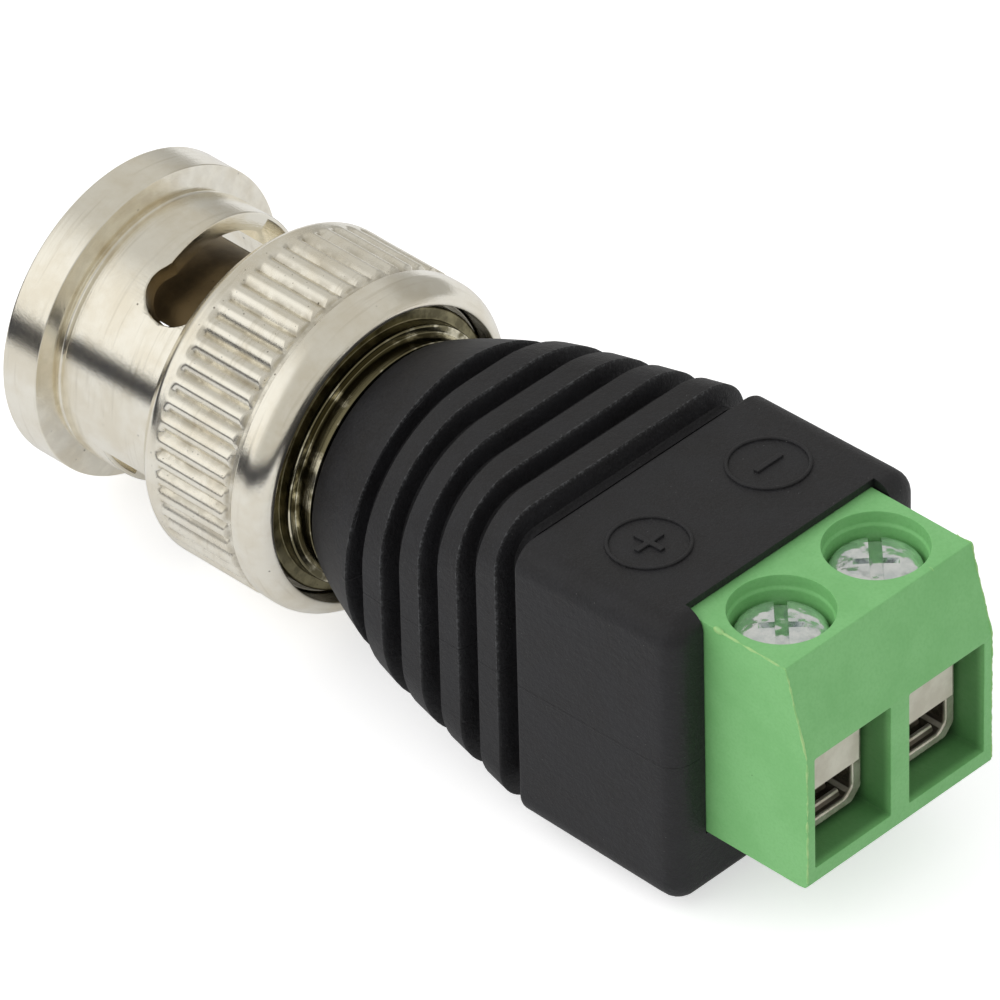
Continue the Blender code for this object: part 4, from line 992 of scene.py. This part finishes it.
def polarity_mark(side):
    """A raised ring round a raised plus or minus, on the sloping top of the box."""
    slope = (BOX_REAR_HALF[1] - BOX_FRONT_HALF[1]) / (BOX_END - BOX_START)
    height = BOX_REAR_HALF[1] - slope * MARK_SETBACK
    place = Matrix.Translation((BOX_END - MARK_SETBACK, side * (POLE_Y + 0.66), height))
    place = place @ Matrix.Rotation(-math.atan(slope), 4, "Y")
    rings = []
    inner, outer = MARK_RING
    outline = filleted([(inner, -MARK_HEIGHT, 0.0), (outer, -MARK_HEIGHT, 0.0), (outer, MARK_HEIGHT, 0.07),
                        (inner, MARK_HEIGHT, 0.07)], steps=3)
    for angle in (TURN * step / 72 for step in range(72)):
        rings.append([place @ Vector((r * math.cos(angle), r * math.sin(angle), z)) for r, z in outline])
    ring = skin(rings, closed=True)
    reach, half = MARK_ARM
    if side < 0:
        flat = cross_outline(reach, half)
    else:
        flat = [(half, -reach), (half, reach), (-half, reach), (-half, -reach)]
    sign = prism(flat, lambda a, b, t: place @ Vector((a, b, t)), -MARK_HEIGHT, MARK_HEIGHT)
    return joined(ring, eased(sign, 0.04))


def make_housing(finish):
    """The black moulding: ribbed neck and box, hollow for the leads and the block, with polarity marks."""
    neck = housing_neck(finish)
    housing = cut(neck, housing_box(), "UNION")
    half_width, half_height = LEAD_ROOM_HALF
    room = box((18.0, -half_width, -half_height), (BLOCK_REAR, half_width, half_height))
    bore = turned_x([(13.1, 0.0), (13.1, TAIL_BORE_RADIUS), (18.35, TAIL_BORE_RADIUS), (18.35, 0.0)],
                    96, closed=False)
    side = BLOCK_HALF_WIDTH + 0.05
    pocket = box((BLOCK_REAR - 0.05, -side, BLOCK_BOTTOM - 0.05), (BOX_END + 1.1, side, BLOCK_TOP + 0.05))
    notch = box((BOX_END - 0.9, -side, BLOCK_TOP - 0.35), (BOX_END + 1.1, side, 7.7))
    for tool in (bore, room, pocket, notch):
        housing = cut(housing, tool)
    for side in (-1, 1):
        housing = cut(housing, polarity_mark(side), "UNION")
    settle("housing_moulding", housing, finish, "body", ["housing"], 42.0)


def make_block(finish):
    """The green block: bays for the cages, wire openings in front, stepped screw wells on top."""
    corners = [
        (BLOCK_REAR, BLOCK_BOTTOM), (BLOCK_FRONT - 0.45, BLOCK_BOTTOM),
        (BLOCK_FRONT - 0.15, BLOCK_BOTTOM + 0.05), (BLOCK_FRONT, BLOCK_BOTTOM + 0.22),
        (BLOCK_FRONT, BLOCK_CREASE), (BLOCK_FRONT - BLOCK_SLOPE, BLOCK_TOP), (BLOCK_REAR, BLOCK_TOP),
    ]
    block = prism(corners, upright, -BLOCK_HALF_WIDTH, BLOCK_HALF_WIDTH)
    for side in (-1, 1):
        y = side * POLE_Y
        stepped = [(BAY_REAR, BAY_BOTTOM), (BLOCK_FRONT + 0.4, BAY_BOTTOM),
                   (BLOCK_FRONT + 0.4, LINTEL_BOTTOM), (LINTEL_REAR, LINTEL_BOTTOM),
                   (LINTEL_REAR, BAY_TOP), (BAY_REAR, BAY_TOP)]
        bay = prism(stepped, upright, y - BAY_HALF_WIDTH, y + BAY_HALF_WIDTH)
        passage = box((BLOCK_REAR - 0.4, y - 1.28, -0.25), (BAY_REAR + 0.4, y + 1.28, 0.55))
        steps = [(LEDGE_TOP, 1.88), (4.9, 1.88), (5.0, 1.93), (5.60, 1.93), (5.68, 2.02), (6.6, 2.02)]
        well = turned_z(steps, 96, (SCREW_X, y, 0.0))
        bore = turned_z([(BAY_TOP - 0.4, SHANK_RADIUS + 0.1), (LEDGE_TOP + 0.4, SHANK_RADIUS + 0.1)],
                        64, (SCREW_X, y, 0.0))
        for tool in (bay, passage, well, bore):
            block = cut(block, tool)
    block = eased(block, 0.055, 2, 35.0)
    settle("block_moulding", block, finish, "body", ["terminal_block"], 42.0)


def cross_outline(reach, half):
    """A plus sign with arms of the given reach and half width."""
    quarter = [(reach, -half), (reach, half), (half, half), (half, reach)]
    half_turn = quarter + [(-half, reach), (-half, half), (-reach, half), (-reach, -half)]
    return half_turn + [(-half, -half), (-half, -reach), (half, -reach), (half, -half)]


def wire(points):
    """A row of points joined by edges."""
    builder = bmesh.new()
    verts = [builder.verts.new(point) for point in points]
    for first, second in zip(verts[:-1], verts[1:]):
        builder.edges.new((first, second))
    return builder


def make_flash(finish):
    """Thin flash left by the mould along the side edges of the green block, and three small blobs."""
    bead = ragged_bead()
    parts = []
    for side, start in ((-1, 36.2), (1, 38.6)):
        y = side * (BLOCK_HALF_WIDTH - 0.02)
        path = [(start, y, BLOCK_TOP - 0.02), (BLOCK_FRONT - BLOCK_SLOPE, y, BLOCK_TOP - 0.02),
                (BLOCK_FRONT - 0.02, y, BLOCK_CREASE), (BLOCK_FRONT - 0.02, y, BLOCK_BOTTOM + 0.35)]
        parts.append(shaped(wire(path), bead, finish, Radius=0.045, Spacing=0.07, Wander=0.10, Coarse=1.4))
    for x, y, z, size in ((36.0, -4.99, 6.19, 0.17), (39.2, 2.9, 6.14, 0.09), (40.2, 4.99, 1.0, 0.07)):
        blob = bmesh.new()
        bmesh.ops.create_icosphere(blob, subdivisions=3, radius=1.0)
        bmesh.ops.scale(blob, verts=blob.verts, vec=(1.5 * size, 0.6 * size, 0.8 * size))
        shift(blob, (x, y, z))
        parts.append(blob)
    settle("mould_flash", joined(*parts), finish, "body")


def make_screw(pole, side, finish):
    """A clamp screw: domed head with a slot and a cross recess, and a threaded shank."""
    centre = (SCREW_X, side * POLE_Y, 0.0)
    profile = filleted([
        (HEAD_BOTTOM, 0.0, 0.0), (HEAD_BOTTOM, HEAD_RADIUS, 0.10), (HEAD_TOP - 0.34, HEAD_RADIUS, 0.30),
        (HEAD_TOP - 0.05, 0.80 * HEAD_RADIUS, 0.5), (HEAD_TOP, 0.0, 0.0)], closed=False, steps=6)
    head = turned_z(profile, 96)
    half_width, depth = DRIVER_SLOT
    slot = box((-4.0, -half_width, HEAD_TOP - depth), (4.0, half_width, HEAD_TOP + 0.5))
    turn(slot, math.radians(-45.0), "Z")
    head = cut(head, slot)
    rings = []
    for depth, reach, width in DRIVER_CROSS:
        rings.append([Vector((a, b, HEAD_TOP + depth)) for a, b in cross_outline(reach, width)])
    cross = skin(rings)
    turn(cross, math.radians(-45.0), "Z")
    head = eased(cut(head, cross), 0.045, 2, 32.0)
    top = HEAD_BOTTOM + 0.02
    core = turned_z([(SHANK_BOTTOM, 0.0), (SHANK_BOTTOM, 0.85), (SHANK_BOTTOM + 0.2, CORE_RADIUS),
                     (top, CORE_RADIUS), (top, 0.0)], 48)
    shank = shaped(core, screw_thread(), finish, Turns=THREAD_TURNS, Radius=CORE_RADIUS + 0.03, Rise=2.5,
                   Crest=0.155, Bottom=SHANK_BOTTOM + 0.18)
    whole = joined(head, shank)
    shift(whole, centre)
    settle("screw_" + pole, whole, finish, "screw_" + pole, ["clamp_screw_" + pole])


def cage_outline(half, bottom, top, chamfer):
    """A rectangle across the cage, with its two lower corners cut off and every corner eased."""
    return filleted([(-half + chamfer, bottom, 0.12), (half - chamfer, bottom, 0.12),
                     (half, bottom + chamfer, 0.12), (half, top, 0.12), (-half, top, 0.12),
                     (-half, bottom + chamfer, 0.12)], steps=3)


def make_cage(pole, side, finish):
    """The rising cage of folded sheet, with a toothed floor and the nut plate for the screw on top."""
    cage = prism(cage_outline(*CAGE_OUTSIDE), lengthwise, -CAGE_HALF_LENGTH, CAGE_HALF_LENGTH)
    cage = cut(cage, prism(cage_outline(*CAGE_INSIDE), lengthwise, -3.0, 3.0))
    thread = turned_z([(0.3, 1.27), (1.6, 1.27)], 64)
    cage = cut(cage, thread)
    cage = eased(cage, 0.09, 3, 40.0)
    tooth = [(-0.24, TOOTH_FOOT), (0.24, TOOTH_FOOT), (0.07, TOOTH_TOP), (-0.07, TOOTH_TOP)]
    first = prism(tooth, lambda a, b, t: (a - 1.75, t, b), -1.1, 1.1)
    teeth = shaped(eased(first, 0.03), row_of_copies(), finish, Count=TOOTH_COUNT, Spacing=TOOTH_SPACING)
    whole = joined(cage, teeth)
    shift(whole, (SCREW_X, side * POLE_Y, 0.0))
    settle("cage_" + pole, whole, finish, "cage_" + pole, ["clamp_cage_" + pole])


def make_bar(pole, finish):
    """The contact bar's own solid with its bends and edges rounded: apron, bar and tail."""
    builder = bmesh.new()
    builder.from_mesh(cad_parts["contact_bar_" + pole].data)
    lift = Matrix.Translation((HALF_LENGTH, 0.0, -AXIS_HEIGHT)) @ Matrix.Scale(1000.0, 4)
    bmesh.ops.transform(builder, verts=builder.verts, matrix=lift)
    bmesh.ops.remove_doubles(builder, verts=builder.verts, dist=0.0005)
    bmesh.ops.dissolve_limit(builder, angle_limit=math.radians(1.0), verts=builder.verts, edges=builder.edges)
    settle("bar_" + pole, eased(builder, 0.13, 4, 40.0), finish, "body", ["contact_bar_" + pole])


def empty_tree(owner):
    """The node tree of a material or a world, with nothing in it."""
    owner.use_nodes = True
    owner.node_tree.nodes.clear()
    return Tree(owner.node_tree)


def seen_rays(tree):
    """1 for rays that see the background, straight, in gloss or through glass, and the Light Path."""
    ray = tree.node("ShaderNodeLightPath", {}, {}, "Is Camera Ray")
    return tree.most(tree.most(ray, ray.out("Is Glossy Ray")), ray.out("Is Transmission Ray")), ray


def stage_piece(name, builder, material):
    """A thing of the studio, which isn't part of the adapter."""
    mesh = bpy.data.meshes.new(name)
    builder.to_mesh(mesh)
    builder.free()
    mesh.materials.append(material)
    thing = bpy.data.objects.new(name, mesh)
    bpy.context.collection.objects.link(thing)
    return thing


def make_floor():
    """A plain white floor, which keeps a faint shadow of the adapter."""
    builder = bmesh.new()
    bmesh.ops.create_grid(builder, x_segments=1, y_segments=1, size=FLOOR_HALF_SIZE)
    material = bpy.data.materials.new("white_floor")
    paint = empty_tree(material)
    seen, ray = seen_rays(paint)
    matt = paint.node("ShaderNodeBsdfDiffuse", {}, {"Color": (0.82, 0.82, 0.82, 1.0)})
    glow = paint.node("ShaderNodeEmission", {}, {"Color": WHITE_LIGHT, "Strength": 1.0})
    dimmed = paint.node("ShaderNodeMixShader", {}, {0: 0.25, 1: matt, 2: glow})
    lifted = paint.node("ShaderNodeEmission", {}, {"Color": WHITE_LIGHT, "Strength": 0.55})
    lifted = paint.node("ShaderNodeAddShader", {}, {0: matt, 1: lifted})
    part = paint.node("ShaderNodeMixShader", {}, {0: ray.out("Is Glossy Ray"), 1: lifted, 2: dimmed})
    whole = paint.node("ShaderNodeMixShader", {}, {0: seen, 1: matt, 2: part})
    paint.node("ShaderNodeOutputMaterial", {}, {"Surface": whole})
    stage_piece("floor", builder, material)


def make_flags():
    """Dark flags low round the adapter, seen only in its gloss, where they draw the horizon."""
    angles = [TURN * i / FLAG_SEGMENTS for i in range(FLAG_SEGMENTS)]
    rings = [[Vector((radius * math.cos(a), radius * math.sin(a), z)) for a in angles]
             for radius, z in FLAG_RINGS]
    material = bpy.data.materials.new("flag_cloth")
    cloth = empty_tree(material)
    spot = cloth.node("ShaderNodeTexCoord", {}, {}, "Object")
    x, y, z = spot.parts()
    radius = cloth.maths("SQRT", x * x + y * y)
    dark = cloth.step(radius, 0.048, 0.060) * (1.0 - cloth.step(radius, 0.28, 0.34))
    dark = dark * (1.0 - cloth.step(y / radius, -0.15, 0.25))
    clear = cloth.node("ShaderNodeBsdfTransparent", {}, {})
    black = cloth.node("ShaderNodeEmission", {}, {"Color": (0.05, 0.05, 0.055, 1.0), "Strength": 1.0})
    mixed = cloth.node("ShaderNodeMixShader", {}, {0: dark, 1: clear, 2: black})
    cloth.node("ShaderNodeOutputMaterial", {}, {"Surface": mixed})
    flags = stage_piece("low_flags", skin(rings, caps=False), material)
    flags.visible_camera = flags.visible_diffuse = flags.visible_transmission = flags.visible_shadow = False


def make_light():
    """Plain soft light from all round, and one large soft panel on the plus side, up and in front."""
    world = bpy.data.worlds.new("studio")
    bpy.context.scene.world = world
    sky = empty_tree(world)
    seen, ray = seen_rays(sky)
    soft = sky.node("ShaderNodeBackground", {}, {"Color": WHITE_LIGHT, "Strength": 0.72})
    white = sky.node("ShaderNodeBackground", {}, {"Color": WHITE_LIGHT, "Strength": 1.0})
    way = sky.node("ShaderNodeTexCoord", {}, {}, "Generated")
    towards = sky.node("ShaderNodeVectorMath", {"operation": "DOT_PRODUCT"},
                       {0: way, 1: GLARE_DIRECTION}, "Value")
    side = sky.step(way.parts()[1], 0.66, 0.84)
    dim = sky.node("ShaderNodeBackground", {},
                   {"Color": (1.0, 0.98, 0.925, 1.0), "Strength": 0.59 - side * 0.18})
    glare = sky.node("ShaderNodeBackground", {}, {"Strength": sky.step(towards, 0.70, 1.0) * 0.50})
    room = sky.node("ShaderNodeAddShader", {}, {0: dim, 1: glare})
    white = sky.node("ShaderNodeMixShader", {}, {0: ray.out("Is Glossy Ray"), 1: white, 2: room})
    both = sky.node("ShaderNodeMixShader", {}, {0: seen, 1: soft, 2: white})
    sky.node("ShaderNodeOutputWorld", {}, {"Surface": both})
    lamp = bpy.data.lights.new("soft_panel", "AREA")
    lamp.shape = "SQUARE"
    lamp.size = 1.2
    lamp.energy = 5.0
    panel = bpy.data.objects.new("soft_panel", lamp)
    aim = PANEL_DIRECTION.normalized()
    panel.location = aim
    panel.rotation_euler = aim.to_track_quat("Z", "Y").to_euler()
    panel.visible_glossy = False
    bpy.context.collection.objects.link(panel)
    bpy.context.scene.view_settings.view_transform = "Standard"


def make_camera():
    """The camera at the photograph's angle, a little rolled."""
    lens = bpy.data.cameras.new("camera")
    lens.sensor_width = 36.0
    lens.lens = CAMERA_LENS
    lens.clip_start = 0.01
    azimuth, elevation, roll = (math.radians(angle) for angle in CAMERA_ANGLES)
    back = Vector((math.sin(azimuth) * math.cos(elevation), -math.cos(azimuth) * math.cos(elevation),
                   math.sin(elevation)))
    right = Vector((math.cos(azimuth), math.sin(azimuth), 0.0))
    up = back.cross(right)
    across = math.cos(roll) * right + math.sin(roll) * up
    above = math.cos(roll) * up - math.sin(roll) * right
    camera = bpy.data.objects.new("camera", lens)
    turned = Matrix((across, above, back)).transposed().to_4x4()
    camera.matrix_world = Matrix.Translation(CAMERA_PLACE) @ turned
    bpy.context.collection.objects.link(camera)
    bpy.context.scene.camera = camera


make_camera()
make_light()
make_floor()
make_flags()

NUT_NICKEL = nickel_of_nut()
BODY_NICKEL_IN_PAINTED_SHADE = nickel_of_body()
BUSHING_NICKEL = nickel_of_bushing()
GOLD = gold_of_pin()
WHITE = white_of_insulator()
RED = red_of_gasket()
STEEL = spring_steel()
BLACK = black_of_housing()
GREEN = green_of_block()
FLASH = green_of_flash()
ZINC = zinc_of_screw()
CAGE_NICKEL = nickel_of_cage()
TIN = tin_of_bar()

make_coupling_nut(NUT_NICKEL)
make_plug_body(BODY_NICKEL_IN_PAINTED_SHADE)
make_bushing(BUSHING_NICKEL)
make_housing(BLACK)
make_block(GREEN)
make_flash(FLASH)
for POLE, SIDE in (("positive", -1), ("negative", 1)):
    make_screw(POLE, SIDE, ZINC)
    make_cage(POLE, SIDE, CAGE_NICKEL)
    make_bar(POLE, TIN)

for NODE, MATERIAL in (
    ("centre_pin", GOLD), ("pin_insulator", WHITE), ("sealing_gasket", RED), ("thrust_washer", STEEL),
    ("wave_spring", STEEL),
    ("signal_lead", lead_cover("red_lead_cover", (170, 40, 34))),
    ("ground_lead", lead_cover("black_lead_cover", (38, 38, 40))),
):
    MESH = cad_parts[NODE].data
    for INDEX in range(len(MESH.materials)):
        MESH.materials[INDEX] = MATERIAL
